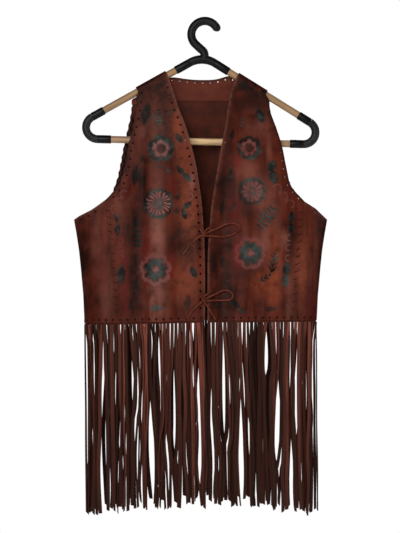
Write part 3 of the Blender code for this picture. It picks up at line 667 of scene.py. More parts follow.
# Uneven dye: soft patches with their half sizes, and how warm, dark, red or pale each is
Stain = namedtuple("Stain", "x z across tall shares")
STAINS = table(
    Stain, 4,
    (-90, -108, 50, 36, {"dark": 0.8}),
    (-136, -215, 12, 75, {"dark": 0.5}),
    (-49, -174, 10, 26, {"warm": 1.0}),
    (-36, -230, 15, 50, {"warm": 0.6}),
    (-108, -275, 8, 45, {"dark": 0.8}),
    (-134, -285, 12, 42, {"dark": 0.55, "red": 0.3}),
    (-114, -255, 12, 26, {"dark": 0.8}),
    (-105, -172, 10, 30, {"dark": 0.7}),
    (-137, -440, 7, 34, {"dark": 0.6}),
    (-84, -390, 14, 150, {"pale": 0.42}),
    (-22, -276, 5, 14, {"pale": 0.6}),
    (-110, -190, 6, 10, {"pale": 0.4}),
    (-27, -330, 18, 50, {"warm": 0.9}),
    (-58, -300, 10, 40, {"red": 0.4}),
    (-82, -371, 13, 30, {"pale": 0.26}),
    (-50, -385, 20, 26, {"dark": 0.35}),
    (-104, -400, 8, 50, {"red": 0.6}),
    (-36, -452, 30, 42, {"warm": 0.7}),
    (-82, -488, 20, 26, {"pale": 0.34}),
    (-59, -425, 6, 26, {"red": 0.8}),
    (-122, -440, 10, 90, {"dark": 1.0}),
    (-122, -335, 9, 30, {"dark": 0.6}),
    (-140, -450, 8, 60, {"red": 0.5}),
    (-151, -500, 14, 22, {"dark": 0.6}),
    (-189, -395, 10, 55, {"pale": 0.22}),
    (-167, -420, 7, 60, {"dark": 0.4}),
    (-174, -480, 12, 50, {"pale": 0.28}),
    (-214, -420, 14, 110, {"dark": 0.9}),
    (-152, -322, 6, 12, {"pale": 0.5}),
    (86, -108, 50, 42, {"dark": 1.0}),
    (40, -170, 14, 70, {"dark": 0.7}),
    (26, -290, 14, 60, {"dark": 0.7}),
    (76, -258, 17, 22, {"warm": 0.4, "pale": 0.35}),
    (104, -190, 14, 30, {"pale": 0.18}),
    (112, -226, 5, 26, {"pale": 0.3}),
    (60, -235, 10, 30, {"red": 0.7}),
    (52, -330, 12, 34, {"red": 0.5, "dark": 0.3}),
    (107, -315, 20, 50, {"pale": 0.35}),
    (13.5, -424, 7.5, 46, {"dark": 1.0}),
    (34, -420, 18, 90, {"dark": 0.7}),
    (46, -480, 16, 34, {"dark": 0.6}),
    (56, -402, 6, 28, {"red": 1.0}),
    (106, -384, 9, 26, {"pale": 0.4}),
    (93, -458, 14, 22, {"warm": 1.0}),
    (122, -415, 14, 60, {"warm": 0.75}),
    (118, -470, 12, 36, {"warm": 0.7}),
    (146, -470, 8, 50, {"pale": 0.3}),
    (139, -380, 8, 16, {"pale": 0.45}),
    (84, -176, 20, 30, {"pale": 0.18, "dark": 0.2}),
    (82, -398, 20, 32, {"pale": 0.35}),
    (83, -294, 20, 30, {"pale": 0.22}),
    (-85, -180, 16, 30, {"pale": 0.25}),
    (168, -425, 13, 52, {"warm": 0.8, "pale": 0.1}),
    (206, -360, 12, 32, {"dark": 0.9}),
    (190, -500, 14, 36, {"dark": 0.6, "red": 0.4}),
    (204, -440, 8, 60, {"dark": 0.5}),
)
BACK_STAINS = table(
    Stain, 4,
    (-98, -236, 20, 70, {"warm": 0.6}),
    (6, -250, 18, 90, {"warm": 0.5, "pale": 0.15}),
    (108, -270, 18, 64, {"warm": 0.6}),
    (-47, -330, 13, 100, {"dark": 0.7}),
    (64, -350, 12, 110, {"dark": 0.7}),
    (-100, -380, 15, 80, {"pale": 0.4}),
    (10, -420, 16, 70, {"pale": 0.35}),
    (118, -410, 14, 80, {"pale": 0.4}),
    (-76, -460, 12, 60, {"red": 0.4}),
    (40, -455, 12, 60, {"red": 0.4}),
    (-156, -430, 12, 90, {"dark": 0.6}),
    (156, -440, 12, 80, {"dark": 0.6}),
    (-190, -440, 10, 70, {"warm": 0.5}),
    (182, -430, 10, 70, {"warm": 0.5}),
    (-10, -148, 80, 12, {"dark": 0.4}),
    (30, -505, 120, 14, {"dark": 0.4}),
)
DYES = ("warm", "dark", "red", "pale")
STAIN_EDGE = 1.3
WEAR_REACH = 0.0028

# Lacing
HOLE_SIDES = 14
HOLE_DEPTH = 0.014
STITCH_ROUNDING = 2
STITCH_STEPS = 4
STITCH_LEAN = 0.35
STITCH_STAND = 0.15
EDGE_DIP_FADE = 20
SEAM_HOLE_INSET = 0.0050
SEAM_STITCH_REACH = 0.0022
SEAM_STITCH_LEAN = 0.2
HEM_HOLE_INSET = 0.0050
HEM_STITCH_DROP = 0.0022
FRONT_HEM_LEAN = 0.05
BACK_HEM_LEAN = 0.15
NECK_HOLE_INSET = 0.0052
NECK_STITCH_LEAN = 0.1
OPEN_NECK_HOLES = 3

# Where along a stitch it bends, and how far it stands off the leather there
OVERCAST_BENDS = (0.20, 0.85)
OVERCAST_STAND = 0.9
BRIDGE_BENDS = ((0.15, 0.9), (0.50, 1.1), (0.85, 0.9))

# Steps of a panel's grid from an edge to the line that its holes are set towards
FRONT_INNER_COLUMNS = 8
FRONT_HEM_ROWS = 10
BACK_HEM_ROWS = 5
UNDERARM_ROWS = 5
ARMHOLE_COLUMNS = 6
ARMHOLE_ROWS = 2
SEAM_ROWS = 4
NECK_ROWS = 3

# Meshes: where shading breaks, and how near points are welded
SHARP_ANGLE = math.radians(40)
WELD = 1e-6

# Lowest place that the camera and the floor can be set to
LOWEST = -10.0


def linear(hex_colour):
    """An sRGB hex colour as linear red, green and blue."""
    shares = [int(hex_colour[start:start + 2], 16) / 255 for start in (1, 3, 5)]
    return tuple(
        share / 12.92 if share <= 0.04045 else ((share + 0.055) / 1.055) ** 2.4
        for share in shares
    )


def tone(name, description, hex_colour):
    """A colour that a user can change."""
    return FloatVectorProperty(
        name=name, description=description, default=(*linear(hex_colour), 1.0), size=4,
        subtype="COLOR", min=0.0, max=1.0,
    )


def measure(name, description, metres, least=0.0):
    """A length that a user can change."""
    return FloatProperty(
        name=name, description=description, default=metres, min=least, unit="LENGTH", precision=4,
    )


def power(name, description, watts):
    """The power of a light that a user can change."""
    return FloatProperty(name=name, description=description, default=watts, min=0.0, unit="POWER")


class VestSizes(bpy.types.PropertyGroup):
    """Sizes of the lacing, fringe and ties."""

    hole: measure("Hole", "Width of a punched lacing hole", 0.0039)
    fine_hole: measure("Fine hole", "Width of a hole in yoke, seams and right edges", 0.0021)
    hole_inset: measure("Hole inset", "From the left edges to the holes", 0.0080)
    near_inset: measure("Near inset", "From the right edges to the holes", 0.0054)
    opening_pitch: measure("Opening pitch", "Between holes along the opening", 0.0148)
    armhole_pitch: measure("Armhole pitch", "Between holes along an armhole", 0.0152)
    neck_pitch: measure("Neck pitch", "Between holes along the back of the neck", 0.0142)
    hem_pitch: measure("Hem pitch", "Between holes along the hem", 0.0130)
    seam_pitch: measure("Seam pitch", "Between holes along a seam", 0.0128)
    edge_dip: measure("Edge dip", "How far a stitch draws the left armhole in", 0.0016)
    thread: measure("Thread", "Thickness of the thread at armholes, seams and hem", 0.0011)
    neck_lace: measure("Neck lace", "Thickness of the lace along the back of the neck", 0.0016)
    thong: measure("Thong", "Thickness of the ties", 0.0028)
    strand_cup: measure("Strand cup", "How far a strand's edges curl", 0.0007)
    strand_wave: measure("Strand wave", "How far a strand wanders", 0.0030)


class VestColours(bpy.types.PropertyGroup):
    """Colours of the hide, paint, thongs and hanger."""

    hide: tone("Hide", "Red-brown grain side of the hide", "#4a1c13")
    hide_warm: tone("Warm hide", "Orange patches of the dye", "#733521")
    hide_dark: tone("Dark hide", "Dark patches of the dye", "#1a0a07")
    hide_red: tone("Red hide", "Red patches of the dye", "#5c1110")
    hide_pale: tone("Pale hide", "Rubbed crests and faded mauve paint", "#845045")
    hide_wear: tone("Worn hide", "Rubbed edges", "#633c32")
    hide_inside: tone("Inside", "Flesh side of the hide", "#501e0e")
    inside_dark: tone("Dark inside", "Darker patches of the flesh side", "#2c110a")
    yoke_inside: tone("Yoke inside", "Flesh side of the yoke", "#5f2a1a")
    sheen: tone("Sheen", "Warm tint of the oiled hide's shine", "#f0d2c8")
    paint_dark: tone("Dark paint", "Green-black paint of leaves and petals", "#0a0e0d")
    paint_teal: tone("Teal paint", "Thinner grey-green paint on the crests", "#3c4440")
    paint_pink: tone("Pink paint", "Mauve-pink paint of the flowers", "#7b5654")
    paint_red: tone("Red paint", "Red paint of the flowers", "#6c1f23")
    strand_dark: tone("Dark strand", "Darkest strands of the fringe", "#271510")
    strand_red: tone("Red strand", "Reddest strands of the fringe", "#834639")
    thong: tone("Thong", "Warm brown of the ties", "#683425")
    lacing: tone("Lacing", "Dark brown of the lacing in the holes", "#210c07")
    thread: tone("Thread", "Waxed thread in the colour of the hide", "#32130c")
    plastic: tone("Plastic", "Black of the hook", "#0d0d0e")
    bend: tone("Bend", "Charcoal of the bends", "#1d1d1f")
    sleeve: tone("Sleeve", "Black of the sleeves", "#0b0b0c")
    bar_wood: tone("Bar wood", "Pale body of the bar", "#e0bb8a")
    bar_end: tone("Bar's ends", "Tint of the bar away from its middle", "#b6acae")
    wood: tone("Wood", "Body of the shoulder dowels", "#9f7b54")
    wood_dark: tone("Wood grain", "Darker grain of the shoulder dowels", "#7c5a39")
    dowel_end: tone("Dowels' ends", "Tint of the shoulder dowels' ends", "#f2f4f8")
    plastic_worn: tone("Worn plastic", "Rubbed patches of the plastic", "#28282a")
    floor: tone("Floor", "Pale floor", "#f6f5f3")
    floor_shade: tone("Floor shade", "Faint patches of the floor", "#f1f0ee")


class VestStage(bpy.types.PropertyGroup):
    """Camera and light."""

    camera_distance: measure("Camera distance", "From the hanger to the camera", 2.8)
    frame_height: measure("Frame height", "Height seen at the hanger", 0.941)
    aim_x: measure("Aim across", "Where the camera looks across", -0.00865, LOWEST)
    aim_z: measure("Aim height", "Height at which the camera looks", -0.426, LOWEST)
    floor_z: measure("Floor height", "Height of the floor below the hook", -1.75, LOWEST)
    key_power: power("Key light", "Power of the soft light at the front left", 49.0)
    fill_power: power("Fill light", "Power of the soft light at the right side", 14.0)
    behind_power: power("Light behind", "Power of the soft light behind the vest", 36.0)
    room_light: FloatProperty(
        name="Room light", description="Strength of the even light all round",
        default=0.10, min=0.0, subtype="FACTOR",
    )


def smoothstep(value):
    value = min(max(value, 0.0), 1.0)
    return value * value * (3.0 - 2.0 * value)


def lerp(start, end, share):
    return start + (end - start) * share


@lru_cache(maxsize=None)
def table_columns(rows, key, value):
    """Two columns of a table, in rising order of the first."""
    ordered = sorted(rows, key=lambda row: getattr(row, key))
    return [getattr(row, key) for row in ordered], [getattr(row, value) for row in ordered]


def from_table(rows, key, value, at):
    """Read a column of a table at a height or place between its rows."""
    places, values = table_columns(rows, key, value)
    return float(np.interp(at, places, values))


def curve_point(before, start, end, after, share):
    """A point between start and end on the smooth curve through four points."""
    return 0.5 * (
        2 * start + (end - before) * share
        + (2 * before - 5 * start + 4 * end - after) * share ** 2
        + (3 * start - before - 3 * end + after) * share ** 3
    )


def smooth_line(points, steps=None, spacing=None):
    """A smooth curve through points, in equal steps a stretch or about a spacing apart."""
    points = [Vector(point) for point in points]
    ends = [2 * points[0] - points[1]] + points + [2 * points[-1] - points[-2]]
    line = [points[0]]
    for before, start, end, after in zip(ends, ends[1:], ends[2:], ends[3:]):
        count = steps or max(1, round((end - start).length / spacing))
        for index in range(1, count + 1):
            line.append(curve_point(before, start, end, after, index / count))
    return line


def line_length(points):
    return sum((end - start).length for start, end in zip(points, points[1:]))


# The hanger's frame

def leaned(x, z):
    """A point of the upright hanger, moved to where it hangs."""
    x += HANGER_MIDDLE_X
    return Vector((
        x * math.cos(HANGER_LEAN) + z * math.sin(HANGER_LEAN),
        0.0,
        -x * math.sin(HANGER_LEAN) + z * math.cos(HANGER_LEAN),
    ))


def dowel_z(x):
    """Height of the shoulder dowel's middle on the upright hanger."""
    ridge = ARCH_TOP_Z - ARCH_RADIUS + ARCH_RADIUS / math.cos(SHOULDER_SLOPE)
    return ridge - abs(x) * math.tan(SHOULDER_SLOPE)


def dowel_frame(side):
    """Start at the sleeve, direction outwards and upward normal of a shoulder dowel."""
    start = leaned(side * SHOULDER_SLEEVE_X, dowel_z(SHOULDER_SLEEVE_X))
    end = leaned(side * ELBOW_TOP_X, dowel_z(ELBOW_TOP_X))
    along = (end - start).normalized()
    normal = Vector((-along.z, 0.0, along.x)) * side
    return start, along, normal


# The hanging leather

def wall_depth(x, z, facing):
    """Depth of the outer face in front of (facing -1) or behind (+1) the hanger."""
    half_width = from_table(GIRTHS, "z", "half_width", z)
    column = "front_depth" if facing < 0 else "back_depth"
    across = min(abs(x - BODY_MIDDLE_X) / half_width, 1.0)
    roundness = math.sqrt(1.0 - across * across)
    ring = from_table(GIRTHS, "z", column, z) * roundness
    dowel = dowel_z(math.hypot(x - HANGER_MIDDLE_X, DOWEL_BLEND))
    opened = smoothstep((dowel - z) / DROP_TO_FULL_DEPTH)
    worn = fold_lift(x, z, facing) + crease_lift(x, z, facing)
    worn += opened * UNDULATION * noise.noise(Vector((x, facing, z)) / UNDULATION_SIZE)
    return lerp(STRAP_RADIUS, ring, opened) + roundness * worn


def fold_lift(x, z, facing):
    total = 0.0
    for fold in FRONT_FOLDS if facing < 0 else BACK_FOLDS:
        along = (fold.z_top - z) / (fold.z_top - fold.z_bottom)
        fade = smoothstep(along / FOLD_FADE) * smoothstep((1.0 - along) / FOLD_FADE)
        middle = lerp(fold.x_top, fold.x_bottom, along)
        total += fold.lift * fade * math.exp(-((x - middle) / fold.half_width) ** 2)
    return total


def crease_lift(x, z, facing):
    """Lift of the finer creases, each of which dies away at its two ends."""
    total = 0.0
    for crease in FRONT_CREASES if facing < 0 else BACK_CREASES:
        run_x = crease.end_x - crease.x
        run_z = crease.end_z - crease.z
        along = ((x - crease.x) * run_x + (z - crease.z) * run_z) / (run_x ** 2 + run_z ** 2)
        if 0.0 < along < 1.0:
            away = math.hypot(x - crease.x - along * run_x, z - crease.z - along * run_z)
            fade = math.sqrt(4.0 * along * (1.0 - along))
            total += crease.lift * fade * math.exp(-(away / crease.half_width) ** 2)
    return total


def on_wall(x, z, facing):
    return Vector((x, facing * wall_depth(x, z, facing), z))


def hem_z(x):
    return from_table(HEM, "x", "z", x)


def on_ring(angle, z):
    """A point round the body, from the front's middle (0) by the right to the back."""
    half_width = from_table(GIRTHS, "z", "half_width", z)
    facing = -1 if math.cos(angle) > 0 else 1
    return on_wall(BODY_MIDDLE_X + half_width * math.sin(angle), z, facing)


# Building helpers

def add_object(name, data, *materials):
    """An object at the origin, whose place is in its data, with materials by name."""
    item = bpy.data.objects.new(name, data)
    for material in materials:
        data.materials.append(bpy.data.materials[material])
    bpy.context.scene.collection.objects.link(item)
    return item


def add_mesh(name, bm, *materials):
    mesh = bpy.data.meshes.new(name)
    bm.to_mesh(mesh)
    bm.free()
    item = add_object(name, mesh, *materials)
    shade(item)
    return item


def shade(item):
    item.data.shade_smooth()
    item.data.set_sharp_from_angle(angle=SHARP_ANGLE)


def applied(item):
    """The object with its modifiers made real."""
    graph = bpy.context.evaluated_depsgraph_get()
    mesh = bpy.data.meshes.new_from_object(item.evaluated_get(graph))
    item.modifiers.clear()
    item.data = mesh
    shade(item)
    return item


def add_tubes(name, lines, radius, rounding, radii=None, closed=False):
    """A curve object with one round tube along each line of points."""
    curve = bpy.data.curves.new(name, "CURVE")
    curve.dimensions = "3D"
    curve.bevel_depth = radius
    curve.bevel_resolution = rounding
    curve.use_fill_caps = True
    for line in lines:
        spline = curve.splines.new("POLY")
        spline.points.add(len(line) - 1)
        spline.use_cyclic_u = closed
        for index, (target, point) in enumerate(zip(spline.points, line)):
            target.co = (*point, 1.0)
            target.radius = radii[index] if radii else 1.0
    return add_object(name, curve)


def as_mesh(item, *materials):
    """A curve object's tubes as a mesh object of the same name, with welded caps."""
    graph = bpy.context.evaluated_depsgraph_get()
    bm = bmesh.new()
    bm.from_mesh(bpy.data.meshes.new_from_object(item.evaluated_get(graph)))
    name = item.name
    bpy.data.objects.remove(item)
    bmesh.ops.remove_doubles(bm, verts=bm.verts[:], dist=WELD)
    bmesh.ops.recalc_face_normals(bm, faces=bm.faces[:])
    return add_mesh(name, bm, *materials)


def add_grid(columns, rows, place):
    """A grid of leather faces, each corner placed by its column and row."""
    bm = bmesh.new()
    bmesh.ops.create_grid(bm, x_segments=columns, y_segments=rows, size=0.5)
    for vert in bm.verts:
        column = round((vert.co.x + 0.5) * columns)
        row = round((vert.co.y + 0.5) * rows)
        vert.co = place(column, row)
    return bm


def dress(piece, slot, *nodes):
    """Put a finished piece in place of its solids."""
    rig.ride(piece, "root")
    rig.slot(piece, slot)
    if nodes:
        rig.replaces(piece, *nodes)
    return piece


# Materials

# Hides: roughness where rubbed and elsewhere, strength of the grain, and how strongly they
# shine. Then the width in millimetres and the depth of what each surface shows.
Finish = namedtuple("Finish", "rubbed unrubbed grain sheen")
HIDE_FINISH = Finish(0.30, 0.46, 0.22, 0.08)
STRAND_FINISH = Finish(0.32, 0.50, 0.20, 0.12)
THONG_FINISH = Finish(0.40, 0.60, 0.30, 0.08)
FLESH_GRAIN = 0.35
PEBBLE_MM = 2.4
PEBBLE_DEPTH = 0.0005
WRINKLE_MM = 11
WRINKLE_DEPTH = 0.0022
GRIT_MM = 1.2
GRIT_DEPTH = 0.0002
WOOD_GRAIN_MM = 2.2
WOOD_GRAIN_DEPTH = 0.0003
PLASTIC_SHEEN = 0.12
PLASTIC_ROUGHNESS = 0.42
SLEEVE_ROUGHNESS = 0.30

# Uneven patterns: millimetres across, detail, the levels that they fade between, and how far
# they are drawn out downwards
Clouds = namedtuple("Clouds", "millimetres detail low high drawn_out", defaults=(1.0,))
DYE_CLOUDS = Clouds(46, 4, 0.42, 0.70)
DARK_STREAKS = Clouds(24, 2, 0.48, 0.66, 7.0)
WARM_STREAKS = Clouds(17, 2, 0.48, 0.66, 7.0)
RUBBED_CLOUDS = Clouds(9, 4, 0.3, 0.7)
PAINT_WEAR = Clouds(8, 4, 0.06, 0.46)
PAINT_THINNING = Clouds(15, 3, 0.42, 0.82)
FLESH_CLOUDS = Clouds(30, 5, 0.36, 0.70)
THONG_CLOUDS = Clouds(8, 4, 0.40, 0.70)
PLASTIC_CLOUDS = Clouds(14, 3, 0.45, 0.80)
FLOOR_CLOUDS = Clouds(400, 2, 0.3, 0.7)
DARK_STREAKED = 0.45
WARM_STREAKED = 0.25

# Patches of dye: millimetres across of the mottle in each, and the mottle's detail and levels
PATCH_SIZES = {"warm": 16, "dark": 18, "red": 14, "pale": 24, "wear": 7}
PATCH_MOTTLE = (2, 0.20, 0.56)

# Streaks of dye on a strand, repeats across, along and between strands, and their levels
STREAKS_ALONG_STRAND = (1.2, 5.0, 90.0)
STREAK_LEVELS = (0.35, 0.70)
STRAND_STREAKED = 0.5
STRAND_HANDLED = 0.80

# Grain of the dowels, drawn out along them, and its levels. The tint of the dowels begins
# at the first distance from the hanger's middle and is full at the second.
GRAIN_ALONG_ROD = (1.0, 1.0, 0.035)
GRAIN_LEVELS = (0.42, 0.72)
TINTED_FROM_TO = (0.060, 0.110)

# Painted shapes, in shares of a motif's size: where a disc ends, and how far petals scallop it
Disc = namedtuple("Disc", "size scallop", defaults=(0.0,))
FLOWER_RIM = Disc(0.92, 0.06)
FLOWER_PETALS = Disc(0.56, 0.09)
FLOWER_EYE = Disc(0.42)
ROSETTE_RIM = Disc(0.98, 0.03)
ROSETTE_FIELD = Disc(0.78)
ROSETTE_RAYS = (Disc(0.80), Disc(0.46))
ROSETTE_EYE = Disc(0.44)
WHEEL_RIM = Disc(0.94, 0.05)
WHEEL_PETALS = (Disc(0.72), Disc(0.34))
WHEEL_HEART = Disc(0.20)
DAISY_PETALS = (Disc(0.70, 0.09), Disc(0.22, 0.09))
DAISY_HALO = (Disc(0.98, 0.09), Disc(0.78, 0.09))
DAISY_EYE = Disc(0.24)
SCALLOP_ARC = (Disc(0.96), Disc(0.68))
SCALLOP_BULGE = 0.35

# Their strengths of paint, and how sharp and broad their rays, ribs and strokes are
FLOWER_PINK = 0.75
FLOWER_EYE_DARK = 0.45
FIELD_THINNED = 0.55
ROSETTE_EYE_DARK = 0.48
ROSETTE_EYE_PALE = 0.20
WHEEL_MAUVE = 0.44
HALO_PINK = 0.48
RAY_EDGE = 2.5
ROSETTE_RAY = -0.2
WHEEL_RAY = 2.0
LEAF_BREADTH = 0.08
RIB_EDGE = 20.0
RIB_BREADTH = 0.7
RIB_THINNED = 0.30
STROKE_EDGE = 6.0
STROKE_NARROWING = 0.35
BAR_SLANT_AND_REACH = (0.15, 0.60)
TWIG_SLANT_AND_REACH = (1.2, 0.50)
STEM_BREADTH = 0.9
UNSTEADINESS = 0.32
UNSTEADY_MM = 7
PETAL_ROUNDING = 0.6
KIND_MARGIN = 0.3
RED_FADE = 0.30
RUBBED_THIN = 1.3
DEEP_THICK = 0.7


def add_node(tree, kind, sockets=(), operation=None, out=None, **settings):
    """Add a node with its options, set or link its sockets by name or in order, and give
    one of its outputs, if it has any."""
    node = tree.nodes.new("ShaderNode" + kind)
    if operation:
        node.operation = operation
    for name, value in settings.items():
        setattr(node, name, value)
    in_use = [socket for socket in node.inputs if socket.enabled]
    for place, value in sockets.items() if isinstance(sockets, dict) else enumerate(sockets):
        socket = in_use[place] if isinstance(place, int) else node.inputs[place]
        if isinstance(value, bpy.types.NodeSocket):
            tree.links.new(value, socket)
        else:
            socket.default_value = value
    if out:
        return node.outputs[out]
    return next((socket for socket in node.outputs if socket.enabled), None)


def start_material(name):
    """A new material without nodes, as the function that adds nodes to it."""
    material = bpy.data.materials.new(name)
    material.use_nodes = True
    material.node_tree.nodes.clear()
    return partial(add_node, material.node_tree)


def finish_material(node, sockets):
    shader = node("BsdfPrincipled", sockets)
    node("OutputMaterial", {"Surface": shader})


def per_mm(millimetres):
    """Texture scale at which a pattern repeats about once in a real size."""
    return MM_PER_METRE / millimetres


def clouds(node, pattern):
    """Soft uneven patches, from 0 below the pattern's low level to 1 above its high one."""
    place = node("TexCoord", out="Object")
    drawn = node("VectorMath", [place, (1.0, 1.0, 1.0 / pattern.drawn_out)], "MULTIPLY")
    cloud = node("TexNoise", {"Vector": drawn, "Scale": per_mm(pattern.millimetres),
                              "Detail": pattern.detail, "Roughness": 0.6})
    return node("MapRange", [cloud, pattern.low, pattern.high])


def grain_bump(node, strength):
    """Pebbled hide with fine wrinkles. The pebbles are 2.4 mm, about twice their real
    size, so that they show."""
    place = node("TexCoord", out="Object")
    pebbles = node("TexVoronoi", {"Vector": place, "Scale": per_mm(PEBBLE_MM)}, feature="SMOOTH_F1")
    wrinkles = node("TexNoise", {"Vector": place, "Scale": per_mm(WRINKLE_MM), "Detail": 5,
                                 "Roughness": 0.65})
    low = node("Bump", {"Height": wrinkles, "Distance": WRINKLE_DEPTH, "Strength": strength})
    return node("Bump", {"Height": pebbles, "Distance": PEBBLE_DEPTH, "Normal": low,
                         "Strength": strength})


def finish_hide(node, tones, finish, tint):
    """Oiled hide, which shines more where it is rubbed."""
    rubbed = clouds(node, RUBBED_CLOUDS)
    roughness = node("MapRange", {"Value": rubbed, "To Min": finish.rubbed, "To Max": finish.unrubbed})
    finish_material(node, {
        "Base Color": tones, "Roughness": roughness, "Normal": grain_bump(node, finish.grain),
        "IOR": 1.48, "Specular IOR Level": finish.sheen, "Specular Tint": tint,
    })


def dyed_hide(node, colours):
    """Colour of the hide: hand-rubbed dye in warm, dark, red and pale patches, streaked
    down the folds, and rubbed edges."""
    tones = node("Mix", [clouds(node, DYE_CLOUDS), colours.hide, colours.hide_dark], data_type="RGBA")
    for colour, streaks, most in ((colours.hide_dark, DARK_STREAKS, DARK_STREAKED),
                                  (colours.hide_warm, WARM_STREAKS, WARM_STREAKED)):
        share = node("Math", [clouds(node, streaks), most], "MULTIPLY")
        tones = node("Mix", [share, tones, colour], data_type="RGBA")
    for name, size in PATCH_SIZES.items():
        patch = node("Attribute", attribute_name=name, out="Fac")
        mottle = clouds(node, Clouds(size, *PATCH_MOTTLE))
        share = node("Math", [patch, mottle], "MULTIPLY", use_clamp=True)
        tones = node("Mix", [share, tones, getattr(colours, "hide_" + name)], data_type="RGBA")
    return tones


# Painted shapes: each gives the share of dark paint and of pink or red paint

def disc(node, brush, edge):
    """A disc, with its edge scalloped by the petals."""
    reach = node("Math", [brush["lobe"], edge.scallop, edge.size], "MULTIPLY_ADD")
    room = node("Math", [reach, brush["radius"]], "SUBTRACT")
    return node("Math", [room, PAINT_EDGE], "MULTIPLY", use_clamp=True)


def band(node, brush, edges):
    """A ring between an outer and an inner disc."""
    discs = [disc(node, brush, edge) for edge in edges]
    return node("Math", discs, "SUBTRACT", use_clamp=True)


def flower(node, brush):
    """A dark ring round pink petals, which have a thinly painted dark eye."""
    rim, petals, eye = [disc(node, brush, edge) for edge in (FLOWER_RIM, FLOWER_PETALS, FLOWER_EYE)]
    ring = node("Math", [rim, petals], "SUBTRACT", use_clamp=True)
    round_eye = node("Math", [petals, eye], "SUBTRACT", use_clamp=True)
    pink = node("Math", [round_eye, FLOWER_PINK], "MULTIPLY")
    dark = node("Math", [eye, FLOWER_EYE_DARK, ring], "MULTIPLY_ADD", use_clamp=True)
    return dark, pink


def rosette(node, brush):
    """Thin pale rays between a dull grey eye and a dark rim."""
    ray = node("Math", [brush["wave"], RAY_EDGE, ROSETTE_RAY], "MULTIPLY_ADD", use_clamp=True)
    rays = node("Math", [band(node, brush, ROSETTE_RAYS), ray], "MULTIPLY")
    field, whole, eye = [disc(node, brush, edge) for edge in (ROSETTE_FIELD, ROSETTE_RIM, ROSETTE_EYE)]
    rim = node("Math", [field, -FIELD_THINNED, whole], "MULTIPLY_ADD", use_clamp=True)
    round_rays = node("Math", [rim, rays], "SUBTRACT", use_clamp=True)
    dark = node("Math", [eye, ROSETTE_EYE_DARK, round_rays], "MULTIPLY_ADD", use_clamp=True)
    return dark, node("Math", [eye, ROSETTE_EYE_PALE, rays], "MULTIPLY_ADD")


def wheel(node, brush):
    """Dull mauve petals parted by thin dark lines, in a scalloped dark rim."""
    parted = node("Math", [brush["wave"], RAY_EDGE, WHEEL_RAY], "MULTIPLY_ADD", use_clamp=True)
    petals = node("Math", [band(node, brush, WHEEL_PETALS), parted], "MULTIPLY")
    mauve = node("Math", [petals, disc(node, brush, WHEEL_HEART)], "ADD")
    dark = node("Math", [disc(node, brush, WHEEL_RIM), mauve], "SUBTRACT", use_clamp=True)
    return dark, node("Math", [mauve, WHEEL_MAUVE], "MULTIPLY")


def daisy(node, brush):
    """Rounded dark petals with a pink eye, in a thinner ring of pink ones."""
    petals, halo = [band(node, brush, edges) for edges in (DAISY_PETALS, DAISY_HALO)]
    pink = node("Math", [halo, HALO_PINK, disc(node, brush, DAISY_EYE)], "MULTIPLY_ADD", use_clamp=True)
    return petals, pink


def leaf(node, brush):
    """A pointed leaf along the motif's length, broader for a higher count, with a paler
    midrib."""
    square = node("Math", [brush["along"], brush["along"]], "MULTIPLY")
    narrowing = node("Math", [square, -LEAF_BREADTH, LEAF_BREADTH], "MULTIPLY_ADD")
    half_width = node("Math", [narrowing, brush["count"]], "MULTIPLY")
    room = node("Math", [half_width, brush["off"]], "SUBTRACT")
    body = node("Math", [room, PAINT_EDGE], "MULTIPLY", use_clamp=True)
    rib = node("Math", [brush["off"], -RIB_EDGE, RIB_BREADTH], "MULTIPLY_ADD", use_clamp=True)
    return node("Math", [rib, -RIB_THINNED, body], "MULTIPLY_ADD", use_clamp=True), None


def blunt_ends(node, brush):
    """Share that falls off at both ends of the motif's length, and the place along it."""
    length = node("Math", [brush["along"]], "ABSOLUTE")
    return node("Math", [length, -PAINT_EDGE, PAINT_EDGE], "MULTIPLY_ADD", use_clamp=True), length


def strokes(node, brush, slant, reach):
    """Short strokes across the motif's length, swept back from its middle by a slant."""
    swept = node("Math", [brush["off"], -slant, brush["along"]], "MULTIPLY_ADD")
    place = node("Math", [swept, 0.5, 0.5], "MULTIPLY_ADD")
    counted = node("Math", [place, brush["count"]], "MULTIPLY")
    wave = node("Math", [counted, 0.5], "PINGPONG")
    body = node("Math", [wave, STROKE_EDGE, -1.0], "MULTIPLY_ADD", use_clamp=True)
    ends, length = blunt_ends(node, brush)
    wide = node("Math", [length, -STROKE_NARROWING * reach, reach], "MULTIPLY_ADD")
    room = node("Math", [wide, brush["off"]], "SUBTRACT")
    inside = node("Math", [room, PAINT_EDGE], "MULTIPLY", use_clamp=True)
    whole = node("Math", [inside, ends], "MULTIPLY")
    return node("Math", [body, whole], "MULTIPLY")


def bars(node, brush):
    """A row of brushed bars."""
    return strokes(node, brush, *BAR_SLANT_AND_REACH), None


def twig(node, brush):
    """A stem with leaves swept back on both sides."""
    stem = node("Math", [brush["off"], -PAINT_EDGE, STEM_BREADTH], "MULTIPLY_ADD", use_clamp=True)
    drawn = node("Math", [stem, blunt_ends(node, brush)[0]], "MULTIPLY")
    leaves = strokes(node, brush, *TWIG_SLANT_AND_REACH)
    return node("Math", [drawn, leaves], "MAXIMUM"), None


def scallop(node, brush):
    """A thinly brushed arc, as in a scalloped border."""
    bulge = node("Math", [brush["along"], -PAINT_EDGE, SCALLOP_BULGE * PAINT_EDGE],
                 "MULTIPLY_ADD", use_clamp=True)
    return None, node("Math", [band(node, brush, SCALLOP_ARC), bulge], "MULTIPLY")


PAINTED_SHAPES = {FLOWER: flower, ROSETTE: rosette, WHEEL: wheel, DAISY: daisy,
                  LEAF: leaf, BARS: bars, TWIG: twig, SCALLOP: scallop}


